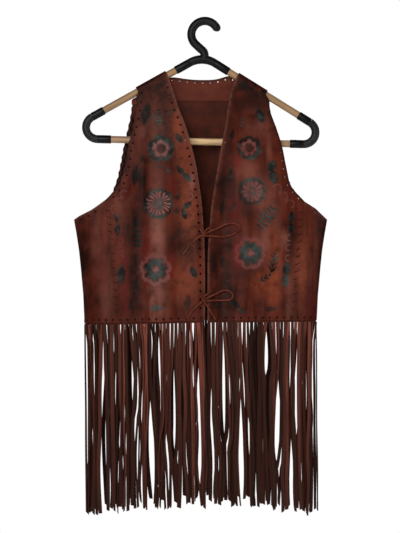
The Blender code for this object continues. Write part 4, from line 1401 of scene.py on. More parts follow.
def paint_brush(node):
    """Place within the nearest motif, a little unsteady as by hand."""
    place = node("TexCoord", out="Object")
    unsteady = node("TexNoise", {"Vector": place, "Scale": per_mm(UNSTEADY_MM), "Detail": 2}, out="Color")
    centred = node("VectorMath", [unsteady, (0.5, 0.5, 0.5)], "SUBTRACT")
    wobble = node("VectorMath", [centred, UNSTEADINESS], "SCALE")
    own = node("UVMap", uv_map="Motif")
    moved = node("VectorMath", [own, wobble], "ADD")
    flat = node("VectorMath", [moved, (1.0, 1.0, 0.0)], "MULTIPLY")
    along, across = [node("SeparateXYZ", [flat], out=axis) for axis in ("X", "Y")]
    count = node("Attribute", attribute_name="count", out="Fac")
    angle = node("Math", [across, along], "ARCTAN2")
    turns = node("Math", [angle, count], "MULTIPLY")
    half_turns = node("Math", [turns, 0.5], "MULTIPLY")
    swing = node("Math", [half_turns], "COSINE")
    petal = node("Math", [swing], "ABSOLUTE")
    rounded = node("Math", [petal, PETAL_ROUNDING], "POWER")
    return {
        "along": along,
        "off": node("Math", [across], "ABSOLUTE"),
        "radius": node("VectorMath", [flat], "LENGTH"),
        "wave": node("Math", [turns], "COSINE"),
        "lobe": node("Math", [rounded, 2.0, -1.0], "MULTIPLY_ADD"),
        "count": count,
    }


def painted_shares(node, brush):
    """Shares of dark and of pink paint over the whole front."""
    kind = node("Attribute", attribute_name="kind", out="Fac")
    totals = [0.0, 0.0]
    for number, shape in PAINTED_SHAPES.items():
        chosen = node("Math", [kind, number, KIND_MARGIN], "COMPARE")
        for colour, share in enumerate(shape(node, brush)):
            if share is not None:
                totals[colour] = node("Math", [share, chosen, totals[colour]], "MULTIPLY_ADD")
    strength = node("Attribute", attribute_name="strength", out="Fac")
    rubbed = node("Math", [strength, clouds(node, PAINT_WEAR)], "MULTIPLY")
    return [node("Math", [total, rubbed], "MULTIPLY", use_clamp=True) for total in totals]


def painted_cowhide(colours):
    """Oiled, hand-dyed cowhide with brushed flowers: a satin sheen on uneven red-brown,
    and flatter paint that is worn thin in places."""
    node = start_material("painted_oiled_cowhide")
    brush = paint_brush(node)
    dark, pink = painted_shares(node, brush)
    redness, pale, deep = [node("Attribute", attribute_name=name, out="Fac")
                           for name in ("redness", "pale", "dark")]
    red = node("Math", [brush["along"], -RED_FADE, redness], "MULTIPLY_ADD", use_clamp=True)
    second = node("Mix", [red, colours.paint_pink, colours.paint_red], data_type="RGBA")
    thin = node("Math", [pale, RUBBED_THIN, clouds(node, PAINT_THINNING)], "MULTIPLY_ADD",
                use_clamp=True)
    shown = node("Math", [deep, -DEEP_THICK, thin], "MULTIPLY_ADD", use_clamp=True)
    first = node("Mix", [shown, colours.paint_dark, colours.paint_teal], data_type="RGBA")
    tones = node("Mix", [dark, dyed_hide(node, colours), first], data_type="RGBA")
    tones = node("Mix", [pink, tones, second], data_type="RGBA")
    finish_hide(node, tones, HIDE_FINISH, colours.sheen)


def plain_cowhide(colours):
    """Oiled, hand-dyed cowhide without paint: a satin sheen on uneven red-brown."""
    node = start_material("oiled_cowhide")
    finish_hide(node, dyed_hide(node, colours), HIDE_FINISH, colours.sheen)


def flesh_side(name, colour, shade_colour, edge_colour):
    """Flesh side of cowhide, sueded by splitting: matt and mottled, with a short nap, and
    darkened by handling along its edges."""
    node = start_material(name)
    tones = node("Mix", [clouds(node, FLESH_CLOUDS), colour, shade_colour], data_type="RGBA")
    handled = node("Attribute", attribute_name="dark", out="Fac")
    tones = node("Mix", [handled, tones, edge_colour], data_type="RGBA")
    finish_material(node, {
        "Base Color": tones, "Roughness": 0.85, "Normal": grain_bump(node, FLESH_GRAIN),
        "IOR": 1.45, "Specular IOR Level": 0.25, "Sheen Weight": 0.04, "Sheen Roughness": 0.5,
    })


def strand_hide(colours):
    """Hide cut into strands: each takes the dye differently, in streaks about 5 mm by
    60 mm, and is darker and duller towards its handled end."""
    node = start_material("cut_cowhide_strands")
    own = node("Attribute", attribute_name="strand", out="Vector")
    fall, shade_share = [node("SeparateXYZ", [own], out=axis) for axis in ("Y", "Z")]
    drawn = node("VectorMath", [own, STREAKS_ALONG_STRAND], "MULTIPLY")
    streak = node("TexNoise", {"Vector": drawn, "Scale": 1.0, "Detail": 4})
    streaks = node("MapRange", [streak, *STREAK_LEVELS])
    tones = node("Mix", [shade_share, colours.strand_dark, colours.strand_red], data_type="RGBA")
    for shares, most, colour in ((streaks, STRAND_STREAKED, colours.hide_dark),
                                 (fall, STRAND_HANDLED, colours.strand_dark)):
        share = node("Math", [shares, most], "MULTIPLY")
        tones = node("Mix", [share, tones, colour], data_type="RGBA")
    finish_hide(node, tones, STRAND_FINISH, colours.sheen)


def thong_hide(name, colour, shade_colour, tint):
    """Rolled leather thong: warm, waxed and creased across."""
    node = start_material(name)
    tones = node("Mix", [clouds(node, THONG_CLOUDS), colour, shade_colour], data_type="RGBA")
    finish_hide(node, tones, THONG_FINISH, tint)


def moulded_plastic(name, colour, worn_colour, roughness):
    """Moulded ABS with a spark-eroded skin: an even satin sheen, faintly mottled. The
    grit is 1.2 mm, coarser than the real skin, so that it shows."""
    node = start_material(name)
    place = node("TexCoord", out="Object")
    tones = node("Mix", [clouds(node, PLASTIC_CLOUDS), colour, worn_colour], data_type="RGBA")
    grit = node("TexNoise", {"Vector": place, "Scale": per_mm(GRIT_MM), "Detail": 2})
    skin = node("Bump", {"Height": grit, "Distance": GRIT_DEPTH, "Strength": 0.25})
    finish_material(node, {
        "Base Color": tones, "Roughness": roughness, "Normal": skin, "IOR": 1.53,
        "Specular IOR Level": PLASTIC_SHEEN,
    })


def birch_dowel(name, colour, grain_colour, end_tint):
    """Turned birch dowel, sanded and unvarnished: fine grain along its length, in streaks
    about 2 mm wide, and tinted away from the hanger's middle."""
    node = start_material(name)
    own = node("Attribute", attribute_name="grain", out="Vector")
    drawn = node("Mapping", {"Vector": own, "Scale": GRAIN_ALONG_ROD})
    streaks = node("TexNoise", {"Vector": drawn, "Scale": per_mm(WOOD_GRAIN_MM), "Detail": 4,
                                "Distortion": 0.4})
    share = node("MapRange", [streaks, *GRAIN_LEVELS])
    tones = node("Mix", [share, colour, grain_colour], data_type="RGBA")
    place = node("TexCoord", out="Object")
    across = node("SeparateXYZ", [place], out="X")
    aside = node("Math", [across], "ABSOLUTE")
    tinted = node("MapRange", [aside, *TINTED_FROM_TO])
    tones = node("Mix", [tinted, tones, end_tint], data_type="RGBA", blend_type="MULTIPLY")
    grain = node("Bump", {"Height": streaks, "Distance": WOOD_GRAIN_DEPTH, "Strength": 0.3})
    finish_material(node, {"Base Color": tones, "Roughness": 0.55, "Normal": grain, "IOR": 1.5})


# Dyeing and painting the panels

def edge_share(edge, point):
    """Share of wear at a point, which dies away from an edge."""
    return math.exp(-np.sqrt(((edge - point[:]) ** 2).sum(1).min()) / WEAR_REACH)


def dye(bm, rubbed_edge, dark_edge):
    """Note the dye's patches, and the rubbed and darkened edges, on a panel's points."""
    layers = {name: bm.verts.layers.float.new(name) for name in (*DYES, "wear")}
    rubbed = np.array([point[:] for point in rubbed_edge])
    darkened = np.array([point[:] for point in dark_edge])
    for vert in bm.verts:
        shares = dict.fromkeys(DYES, 0.0)
        for stain in STAINS if vert.co.y < 0 else BACK_STAINS:
            away = ((vert.co.x - stain.x) / stain.across) ** 2
            away += ((vert.co.z - stain.z) / stain.tall) ** 2
            for name, share in stain.shares.items():
                shares[name] += share * math.exp(-away ** STAIN_EDGE)
        shares["dark"] += edge_share(darkened, vert.co)
        for name, share in shares.items():
            vert[layers[name]] = min(share, 1.0)
        vert[layers["wear"]] = edge_share(rubbed, vert.co)


def paint(bm):
    """Give each face its place within the nearest motif, and that motif's figures."""
    own = bm.loops.layers.uv.new("Motif")
    names = ("kind", "count", "redness", "strength")
    layers = {name: bm.faces.layers.float.new(name) for name in names}

    def distance(motif, point):
        return math.hypot(point.x - motif.x, point.z - motif.z) / (motif.size * MOTIF_ROOM)

    for face in bm.faces:
        middle = face.calc_center_median()
        motif = min(MOTIFS, key=lambda row: distance(row, middle))
        if distance(motif, middle) > 1.0:
            continue
        for name, layer in layers.items():
            face[layer] = getattr(motif, name)
        turn = math.radians(motif.turn)
        for loop in face.loops:
            x = (loop.vert.co.x - motif.x) / motif.size
            z = (loop.vert.co.z - motif.z) / motif.size
            loop[own].uv = (x * math.cos(turn) + z * math.sin(turn),
                            z * math.cos(turn) - x * math.sin(turn))


# Lacing

Hole = namedtuple("Hole", "point normal edge")


def stitch_dip(share, length, sizes):
    """How far the lacing draws an armhole's edge in, at a share of its length."""
    count = max(1, round(length / sizes.armhole_pitch))
    return sizes.edge_dip * math.sin(math.pi * count * share) ** 2


def edge_holes(surface, edge, inner, pitch, inset):
    """Evenly spaced holes inside an edge, set square to the leather."""
    lengths = [0.0]
    for start, end in zip(edge, edge[1:]):
        lengths.append(lengths[-1] + (end - start).length)
    count = max(1, round(lengths[-1] / pitch))
    holes = []
    for index in range(count):
        at = float(np.interp((index + 0.5) * lengths[-1] / count, lengths, range(len(edge))))
        row = min(int(at), len(edge) - 2)
        on_edge = edge[row].lerp(edge[row + 1], at - row)
        inward = (inner[row].lerp(inner[row + 1], at - row) - on_edge).normalized()
        point, normal = surface.find_nearest(on_edge + inward * inset)[:2]
        holes.append(Hole(point, normal, on_edge))
    return holes


def punch(panel, holes, width):
    """Cut lacing holes through a panel."""
    bm = bmesh.new()
    for hole in holes:
        turn = hole.normal.to_track_quat("Z", "Y").to_matrix().to_4x4()
        bmesh.ops.create_cone(
            bm, cap_ends=True, segments=HOLE_SIDES, radius1=width / 2, radius2=width / 2,
            depth=HOLE_DEPTH, matrix=Matrix.Translation(hole.point) @ turn,
        )
    cutter = add_mesh(panel.name + "_punch", bm)
    cut = panel.modifiers.new("holes", "BOOLEAN")
    cut.operation = "DIFFERENCE"
    cut.object = cutter
    applied(panel)
    bpy.data.objects.remove(cutter)


def overcast(holes, thickness):
    """Lacing that goes out of each hole, over the edge and back to the next hole."""
    lines = []
    off = thickness * STITCH_STAND
    near, far = OVERCAST_BENDS
    for hole, following in zip(holes, holes[1:]):
        out = (hole.edge - hole.point).normalized()
        over = hole.edge.lerp(following.edge, STITCH_LEAN)
        lines.append(smooth_line([
            hole.point - hole.normal * LEATHER,
            hole.point.lerp(over, near) + hole.normal * off * OVERCAST_STAND,
            hole.point.lerp(over, far) + hole.normal * off,
            over + out * off - hole.normal * LEATHER / 2,
            following.point.lerp(over, far) - hole.normal * (LEATHER + off),
            following.point.lerp(over, near) - hole.normal * (LEATHER + off * OVERCAST_STAND),
            following.point,
        ], steps=STITCH_STEPS))
    return lines


def blind(holes):
    """Lacing that fills each hole up to the grain side and runs to the next hole inside."""
    lines = []
    for hole, following in zip(holes, holes[1:]):
        edge = hole.edge.lerp(following.edge, 0.5)
        lines.append(smooth_line([
            hole.point - hole.normal * SEAM,
            hole.point - hole.normal * LEATHER,
            hole.point.lerp(edge, 0.5) - hole.normal * 2 * LEATHER,
            following.point - following.normal * LEATHER,
            following.point - following.normal * SEAM,
        ], steps=STITCH_STEPS))
    return lines


def bridged(holes, reach, lean, thickness):
    """Short stitches from each hole, over the edge beside it, into the next piece."""
    lines = []
    off = thickness * STITCH_STAND
    for hole, following in zip(holes, holes[1:] + holes[-1:]):
        out = (hole.edge - hole.point).normalized()
        aside = (following.point - hole.point) * lean
        end = hole.edge + out * reach + aside
        bends = [hole.point.lerp(end, share) + hole.normal * off * stand
                 for share, stand in BRIDGE_BENDS]
        lines.append(smooth_line([hole.point - hole.normal * LEATHER, *bends,
                                  end - hole.normal * LEATHER], steps=STITCH_STEPS))
    return lines


def add_stitches(name, lines, thickness, material):
    tubes = add_tubes(name, lines, thickness / 2, STITCH_ROUNDING)
    dress(as_mesh(tubes, material), "leather_thong")


# Panels

def row_line(place, columns, row):
    """Points of a panel along one row of its grid."""
    return [place(column, row) for column in columns]


def add_panel(name, bm, *materials):
    """A leather face with its thickness inwards."""
    panel = add_mesh(name, bm, *materials)
    wall = panel.modifiers.new("leather", "SOLIDIFY")
    wall.thickness = LEATHER
    wall.offset = -1.0
    wall.material_offset = 1
    wall.material_offset_rim = 1
    return panel


def strap_edge_points(side):
    """The strap's inner and outer edges at the height of the dowel's middle."""
    start, along, normal = dowel_frame(side)
    return start + along * STRAP_INNER, start + along * STRAP_OUTER, normal


def front_edges(rows, side):
    """Left and right edge points of a front from the hem up."""
    inner, outer = strap_edge_points(side)[:2]
    left_top, right_top = (outer, inner) if side < 0 else (inner, outer)
    edges = []
    for column in ("left", "right"):
        top = left_top if column == "left" else right_top
        line = [(getattr(row, column + "_x"), 0.0, getattr(row, column + "_z")) for row in rows]
        lower = smooth_line(line[:FRONT_CORNER + 1], steps=FRONT_ROW_STEPS)
        upper = smooth_line(line[FRONT_CORNER:] + [tuple(top)], steps=FRONT_ROW_STEPS)
        edges.append(lower + upper[1:])
    return edges


def add_front(label, rows, side, sizes):
    """One front, from the hem over the dowel to the shoulder seam behind it."""
    left_edge, right_edge = front_edges(rows, side)
    corner = FRONT_CORNER * FRONT_ROW_STEPS
    normal = dowel_frame(side)[2]
    flat_rows = len(left_edge) - 1
    all_rows = flat_rows + STRAP_TURNS + 1
    laced = left_edge[corner:]
    runs = [line_length(laced[:index + 1]) for index in range(len(laced))]

    def place(column, row):
        share = column / FRONT_COLUMNS
        flat_row = min(row, flat_rows)
        point = left_edge[flat_row].lerp(right_edge[flat_row], share)
        if row < flat_rows:
            if side < 0 and row > corner:
                dip = stitch_dip(runs[row - corner] / runs[-1], runs[-1], sizes)
                point.x += dip * (1.0 - share) ** EDGE_DIP_FADE
            point.z = lerp(hem_z(point.x), point.z, smoothstep(row / FRONT_ROW_STEPS))
            return on_wall(point.x, point.z, -1)
        if row - flat_rows <= STRAP_TURNS:
            turn = math.pi * (0.5 - (row - flat_rows) / STRAP_TURNS)
            rise = normal * STRAP_RADIUS * math.cos(turn)
            return point + rise + Vector((0.0, -STRAP_RADIUS * math.sin(turn), 0.0))
        return point - normal * SHOULDER_SEAM_DROP + Vector((0.0, STRAP_RADIUS, 0.0))

    def column_line(column, first, last):
        return [place(column, row) for row in range(first, last + 1)]

    near, far = (FRONT_COLUMNS, 0) if side < 0 else (0, FRONT_COLUMNS)
    step = FRONT_INNER_COLUMNS if near == 0 else -FRONT_INNER_COLUMNS
    bm = add_grid(FRONT_COLUMNS, all_rows, place)
    bm.normal_update()
    holes_along = partial(edge_holes, BVHTree.FromBMesh(bm))
    opening = column_line(near, 0, flat_rows)
    armhole = column_line(far, corner, flat_rows)
    across = range(FRONT_COLUMNS + 1)
    inset = sizes.hole_inset if side < 0 else sizes.near_inset
    opening_holes = holes_along(opening, column_line(near + step, 0, flat_rows),
                                sizes.opening_pitch, inset)[1:]
    armhole_holes = holes_along(armhole, column_line(far - step, corner, flat_rows),
                                sizes.armhole_pitch, inset)
    seam_holes = holes_along(column_line(far, 0, corner), column_line(far - step, 0, corner),
                             sizes.seam_pitch, SEAM_HOLE_INSET)[1:-1]
    hem_holes = holes_along(row_line(place, across, 0), row_line(place, across, FRONT_HEM_ROWS),
                            sizes.hem_pitch, HEM_HOLE_INSET)
    dye(bm, opening, armhole)
    paint(bm)
    front = add_panel(f"front_{label}_hide", bm, "painted_oiled_cowhide", "flesh_side")
    punch(front, opening_holes + armhole_holes, sizes.hole if side < 0 else sizes.fine_hole)
    punch(front, hem_holes, sizes.hole)
    punch(front, seam_holes, sizes.fine_hole)
    dress(front, "leather_front", f"front_{label}")
    thread = bridged(seam_holes, SEAM_STITCH_REACH, SEAM_STITCH_LEAN, sizes.thread)
    thread += bridged(hem_holes, HEM_STITCH_DROP, FRONT_HEM_LEAN, sizes.thread)
    if side < 0:
        add_stitches("armhole_left_lacing", blind(armhole_holes), sizes.hole, "lacing_thong")
    else:
        thread += overcast(armhole_holes, sizes.thread)
    add_stitches(f"front_{label}_lacing", blind(hem_holes), sizes.hole, "lacing_thong")
    add_stitches(f"front_{label}_thread", thread, sizes.thread, "waxed_thread")
    return front


def seam_x(rows, z):
    """The side seam of a front at a height: its outer edge below the armhole."""
    column = "left" if rows is LEFT_FRONT else "right"
    return from_table(rows[:FRONT_CORNER + 1], column + "_z", column + "_x", z)


def yoke_seam_z(x):
    across = (x - BODY_MIDDLE_X) / BACK_ARMHOLE[-1].half_width
    return YOKE_SEAM_Z - YOKE_SEAM_FALL * across * across


def underarm_z(angle):
    """Top edge of the side under the arm, by the angle round the body."""
    half_width = abs(math.sin(angle)) * UNDERARM_BACK[-1].half_width
    if math.cos(angle) < 0:
        edge = UNDERARM_BACK
    else:
        edge = UNDERARM_RIGHT if math.sin(angle) > 0 else UNDERARM_LEFT
    return from_table(edge, "half_width", "z", half_width)


def side_angle(side, share, z):
    """Angle round the body between the front's seam (share 0) and the back (share 1)."""
    rows = RIGHT_FRONT if side > 0 else LEFT_FRONT
    half_width = from_table(GIRTHS, "z", "half_width", z)
    seam = abs(seam_x(rows, z) + side * SEAM - BODY_MIDDLE_X) / half_width
    ahead = math.pi / 2 - math.asin(seam)
    behind = CORNER_ANGLE - math.pi / 2
    spread = 2.0 * share - 1.0
    reach = behind if spread > 0 else ahead
    return side * (math.pi / 2 + math.copysign(abs(spread) ** SIDE_CROWDING, spread) * reach)


def back_place(column, row):
    """A point of the back panel: its sides up to the armholes, its middle to the yoke."""
    sizes = bpy.context.scene.vest_sizes
    corner = BACK_ARMHOLE[0]
    rise = min(row / BACK_LOWER_ROWS, 1.0)
    if column < SIDE_COLUMNS or column > SIDE_COLUMNS + CENTRE_COLUMNS:
        side = 1 if column < SIDE_COLUMNS else -1
        share = (column if side > 0 else BACK_COLUMNS - column) / SIDE_COLUMNS
        angle = side_angle(side, share, lerp(HEM[0].z, corner.z, rise))
        low = hem_z(on_ring(angle, HEM[0].z).x)
        z = lerp(low, underarm_z(angle), rise)
        return on_ring(side_angle(side, share, z), z)
    across = lerp(1.0, -1.0, (column - SIDE_COLUMNS) / CENTRE_COLUMNS)
    if row <= BACK_LOWER_ROWS:
        angle = math.pi - math.asin(across * math.sin(CORNER_ANGLE))
        low = hem_z(on_ring(angle, HEM[0].z).x)
        return on_ring(angle, lerp(low, corner.z, rise))
    rise = (row - BACK_LOWER_ROWS) / BACK_UPPER_ROWS
    level = lerp(corner.z, YOKE_SEAM_Z, rise)
    half_width = from_table(BACK_ARMHOLE, "z", "half_width", level)
    dip = stitch_dip(rise, YOKE_SEAM_Z - corner.z, sizes) if across < 0 else 0.0
    half_width -= dip * abs(across) ** EDGE_DIP_FADE
    x = BODY_MIDDLE_X + across * half_width
    return on_wall(x, lerp(corner.z, yoke_seam_z(x) - SEAM, rise), 1)


def back_grid():
    """The back's grid, without the corners beside its upper middle."""
    bm = add_grid(BACK_COLUMNS, BACK_ROWS, lambda column, row: Vector((column, row, 0.0)))
    beside = []
    for face in bm.faces:
        middle = face.calc_center_median()
        if middle.y > BACK_LOWER_ROWS and not 0 < middle.x - SIDE_COLUMNS < CENTRE_COLUMNS:
            beside.append(face)
    bmesh.ops.delete(bm, geom=beside, context="FACES")
    for vert in bm.verts:
        vert.co = back_place(round(vert.co.x), round(vert.co.y))
    bm.normal_update()
    return bm


def armhole_path(side):
    """Columns and rows of the back round an armhole, from the front seam to the yoke."""
    corner = SIDE_COLUMNS if side > 0 else BACK_COLUMNS - SIDE_COLUMNS
    start = 0 if side > 0 else BACK_COLUMNS
    step = 1 if side > 0 else -1
    under = [(column, BACK_LOWER_ROWS, column, BACK_LOWER_ROWS - UNDERARM_ROWS)
             for column in range(start, corner, step)]
    up = [(corner, row, corner + ARMHOLE_COLUMNS * step, row - ARMHOLE_ROWS)
          for row in range(BACK_LOWER_ROWS, BACK_ROWS + 1)]
    return under + up


def add_back(sizes):
    """The back, carried round both sides to the seams of the fronts."""
    bm = back_grid()
    holes_along = partial(edge_holes, BVHTree.FromBMesh(bm))
    across = range(BACK_COLUMNS + 1)
    hem = row_line(back_place, across, 0)
    hem_holes = holes_along(hem, row_line(back_place, across, BACK_HEM_ROWS),
                            sizes.hem_pitch, HEM_HOLE_INSET)
    middle = range(SIDE_COLUMNS, SIDE_COLUMNS + CENTRE_COLUMNS + 1)
    seam = row_line(back_place, middle, BACK_ROWS)
    seam_holes = holes_along(seam, row_line(back_place, middle, BACK_ROWS - SEAM_ROWS),
                             sizes.seam_pitch, SEAM_HOLE_INSET)[1:-1]
    edges = []
    armholes = []
    for side in (1, -1):
        path = armhole_path(side)
        edge = [back_place(column, row) for column, row, _, _ in path]
        inner = [back_place(column, row) for _, _, column, row in path]
        armholes.append(holes_along(edge, inner, sizes.armhole_pitch, sizes.hole_inset))
        edges += edge
    dye(bm, seam + edges, edges)
    right, left = [row[1:-1] for row in armholes]
    back = add_panel("back_hide", bm, "oiled_cowhide", "flesh_side")
    punch(back, left + hem_holes + seam_holes, sizes.hole)
    punch(back, right, sizes.fine_hole)
    dress(back, "leather_back", "back_panel")
    add_stitches("back_lacing", blind(hem_holes), sizes.hole, "lacing_thong")
    lines = bridged(seam_holes, SEAM_STITCH_REACH, SEAM_STITCH_LEAN, sizes.thread)
    lines += bridged(hem_holes, HEM_STITCH_DROP, BACK_HEM_LEAN, sizes.thread)
    add_stitches("back_thread", lines + overcast(right, sizes.thread), sizes.thread, "waxed_thread")
    add_stitches("back_armhole_lacing", blind(left), sizes.hole, "lacing_thong")
    return back


def yoke_top():
    """Top edge of the yoke from the right armhole to the left, by its columns."""
    line = []
    for side in (1, -1):
        inner, outer, normal = strap_edge_points(side)
        drop = normal * (SHOULDER_SEAM_DROP + SEAM)
        shares = [index / YOKE_STRAP_COLUMNS for index in range(YOKE_STRAP_COLUMNS + 1)]
        strap = [outer.lerp(inner, share) - drop for share in shares]
        line.append(strap if side > 0 else strap[::-1])
    right, left = line
    start, end = right[-1], left[0]
    neck = []
    for index in range(1, NECK_COLUMNS):
        x = lerp(start.x, end.x, index / NECK_COLUMNS)
        edge, rise = (end, NECK_RISE_LEFT) if x < NECK_LOW_X else (start, NECK_RISE_RIGHT)
        share = (x - NECK_LOW_X) / (edge.x - NECK_LOW_X)
        z = lerp(NECK_LOW_Z, edge.z, share ** 2) + rise * math.sin(math.pi * share ** 3)
        neck.append(Vector((x, 0.0, z)))
    return right + neck + left


def add_yoke(sizes):
    """Yoke that joins the back to the shoulder seams and edges the back of the neck. Its
    foot is lapped inside the back's top edge."""
    top = yoke_top()
    columns = len(top) - 1
    rows = LAP_ROWS + YOKE_ROWS
    reach = BACK_ARMHOLE[-1].half_width

    def place(column, row):
        high = top[column]
        share = (top[0].x - high.x) / (top[0].x - top[-1].x)
        low_x = lerp(BODY_MIDDLE_X + reach, BODY_MIDDLE_X - reach, share)
        low_z = yoke_seam_z(low_x)
        rise = (row - LAP_ROWS) / YOKE_ROWS
        x = lerp(low_x, high.x, max(rise, 0.0))
        z = lerp(low_z, high.z, rise) if rise > 0 else low_z + LAP * (row / LAP_ROWS - 1.0)
        inwards = (LEATHER + SEAM) * smoothstep((low_z + LAP_EASE - z) / LAP_EASE)
        return on_wall(x, z, 1) - Vector((0.0, inwards, 0.0))

    bm = add_grid(columns, rows, place)
    bm.normal_update()
    holes_along = partial(edge_holes, BVHTree.FromBMesh(bm))
    neck = range(YOKE_STRAP_COLUMNS, columns - YOKE_STRAP_COLUMNS + 1)
    neck_edge = row_line(place, neck, rows)
    neck_holes = holes_along(neck_edge, row_line(place, neck, rows - NECK_ROWS),
                             sizes.neck_pitch, NECK_HOLE_INSET)
    shoulder_holes = []
    for strap in (range(YOKE_STRAP_COLUMNS + 1), range(columns - YOKE_STRAP_COLUMNS, columns + 1)):
        inner = row_line(place, strap, rows - SEAM_ROWS)
        shoulder_holes.append(holes_along(row_line(place, strap, rows), inner,
                                          sizes.seam_pitch, SEAM_HOLE_INSET))
    dye(bm, neck_edge, neck_edge)
    yoke = add_panel("yoke_hide", bm, "oiled_cowhide", "yoke_flesh_side")
    punch(yoke, neck_holes + sum(shoulder_holes, []), sizes.fine_hole)
    dress(yoke, "leather_back", "back_yoke")
    lines = [line for row in shoulder_holes
             for line in bridged(row, SEAM_STITCH_REACH, SEAM_STITCH_LEAN, sizes.thread)]
    add_stitches("yoke_thread", lines, sizes.thread, "waxed_thread")
    laced = bridged(neck_holes[OPEN_NECK_HOLES:], -NECK_HOLE_INSET / 2, NECK_STITCH_LEAN,
                    sizes.neck_lace)
    add_stitches("neck_lacing", laced, sizes.neck_lace, "waxed_thong")
    return yoke


# Fringe

def hem_line():
    """Angles round the hem and the distance along it to each of them."""
    angles = np.radians(np.arange(-HEM_TURN, HEM_TURN + 1))
    points = [on_ring(angle, HEM[0].z) for angle in angles]
    steps = [(end - start).length for start, end in zip(points, points[1:])]
    return angles, np.concatenate(([0.0], np.cumsum(steps)))


def parting_push(x, z):
    """How far sideways the strands at a place are pushed by the partings."""
    push = 0.0
    for parting in PARTINGS:
        along = (parting.z_top - z) / (parting.z_top - parting.z_bottom)
        if 0.0 < along < 1.0:
            away = x - parting.x
            swell = parting.width / 2 * PARTING_SWELL * along * math.sqrt(1.0 - along)
            push += math.copysign(swell * math.exp(-abs(away) / PARTING_REACH), away)
    return push


def draw_strands(start, end, seed):
    """The strands of one stretch of hem, as in the solids."""
    chance = random.Random(FRINGE_SEED + seed)
    count = round((end - start) / STRAND_PITCH)
    step = (end - start) / count
    return [{
        "middle": start + (index + 0.5) * step,
        "width": step * chance.uniform(*STRAND_WIDTHS),
        "layer": STRAND_LAYERS[index % len(STRAND_LAYERS)],
        "drift": chance.uniform(-STRAND_DRIFT, STRAND_DRIFT),
        "twist": chance.uniform(-STRAND_TWIST, STRAND_TWIST),
        "ragged": chance.uniform(-STRAND_RAGGED, STRAND_RAGGED),
        "slant": chance.uniform(-STRAND_SLANT, STRAND_SLANT),
    } for index in range(count)]


def draw_ribbons(chance):
    """The ribbons of one strand: some strands are cut again down their middle, and a few
    hang across their neighbours."""
    cut = chance.uniform(-CUT_ASIDE, CUT_ASIDE)
    shares = ((-1.0, cut), (cut, 1.0)) if chance.random() < CUT_AGAIN else ((-1.0, 1.0),)
    lean = chance.uniform(-LEAN, LEAN) if chance.random() < LEANING else 0.0
    return [{
        "low": low,
        "high": high,
        "drift": lean + chance.uniform(-RIBBON_DRIFT, RIBBON_DRIFT),
        "shade": chance.random() ** SHADE_POWER,
        "cup": chance.uniform(-1.0, 1.0),
        "wave": chance.uniform(-1.0, 1.0),
        "waves": chance.uniform(*WAVES),
        "phase": chance.uniform(0.0, math.tau),
        "tip": chance.uniform(*TIPS),
        "ragged": chance.uniform(-RIBBON_RAGGED, RIBBON_RAGGED),
        "gather": chance.uniform(-GATHER, GATHER),
        "gathered": chance.uniform(*GATHERED),
        "neck": chance.uniform(*NECKS),
    } for low, high in shares]


def ribbon_point(root, outward, strand, ribbon, fall, across, sizes):
    """A point on a ribbon's middle face, at a share of its fall and of its half width."""
    sideways = Vector((-outward.y, outward.x, 0.0))
    twist = strand["twist"] * fall
    width_way = sideways * math.cos(twist) + outward * math.sin(twist)
    depth_way = outward * math.cos(twist) - sideways * math.sin(twist)
    end_z = FRINGE_END_Z - FRINGE_SIDE_FALL * abs(root.x / GIRTHS[0].half_width) ** 2
    length = root.z - end_z + strand["ragged"] + ribbon["ragged"]
    z = root.z - length * fall
    wave = math.sin(ribbon["phase"] + math.tau * ribbon["waves"] * fall) - math.sin(ribbon["phase"])
    group = GROUP_LEAN * noise.noise(Vector((root.x, root.y, 0.0)) / GROUP_SIZE)
    shift = (strand["drift"] + ribbon["drift"] + group) * fall ** DRIFT_GROWTH
    shift += sizes.strand_wave * ribbon["wave"] * wave * smoothstep(fall / WAVED_BY)
    push = parting_push(root.x, z) * abs(outward.y)
    point = root + sideways * shift + Vector((push + FRINGE_SWAY * fall, 0.0, 0.0))
    point += outward * (strand["layer"] * STRAND_LAYER_STEP * smoothstep(fall / STRAND_FREE))
    tip = smoothstep((fall - 1.0 + TIP_SHARE) / TIP_SHARE)
    gather = 1.0 - smoothstep(fall / ribbon["gathered"])
    point += sideways * ribbon["gather"] * gather
    middle = (ribbon["low"] + ribbon["high"]) / 2
    reach = (ribbon["high"] - ribbon["low"]) / 2
    reach *= lerp(1.0, ribbon["tip"], tip)
    half_width = lerp(1.0, ribbon["neck"], gather) * strand["width"] / 2
    point += width_way * (middle + across * reach) * half_width
    cup = ribbon["cup"] * sizes.strand_cup * smoothstep(fall / CUPPED_BY)
    point += depth_way * cup * (CUP_LIFT - across * across)
    point.z = z + across * strand["slant"] * tip
    return point


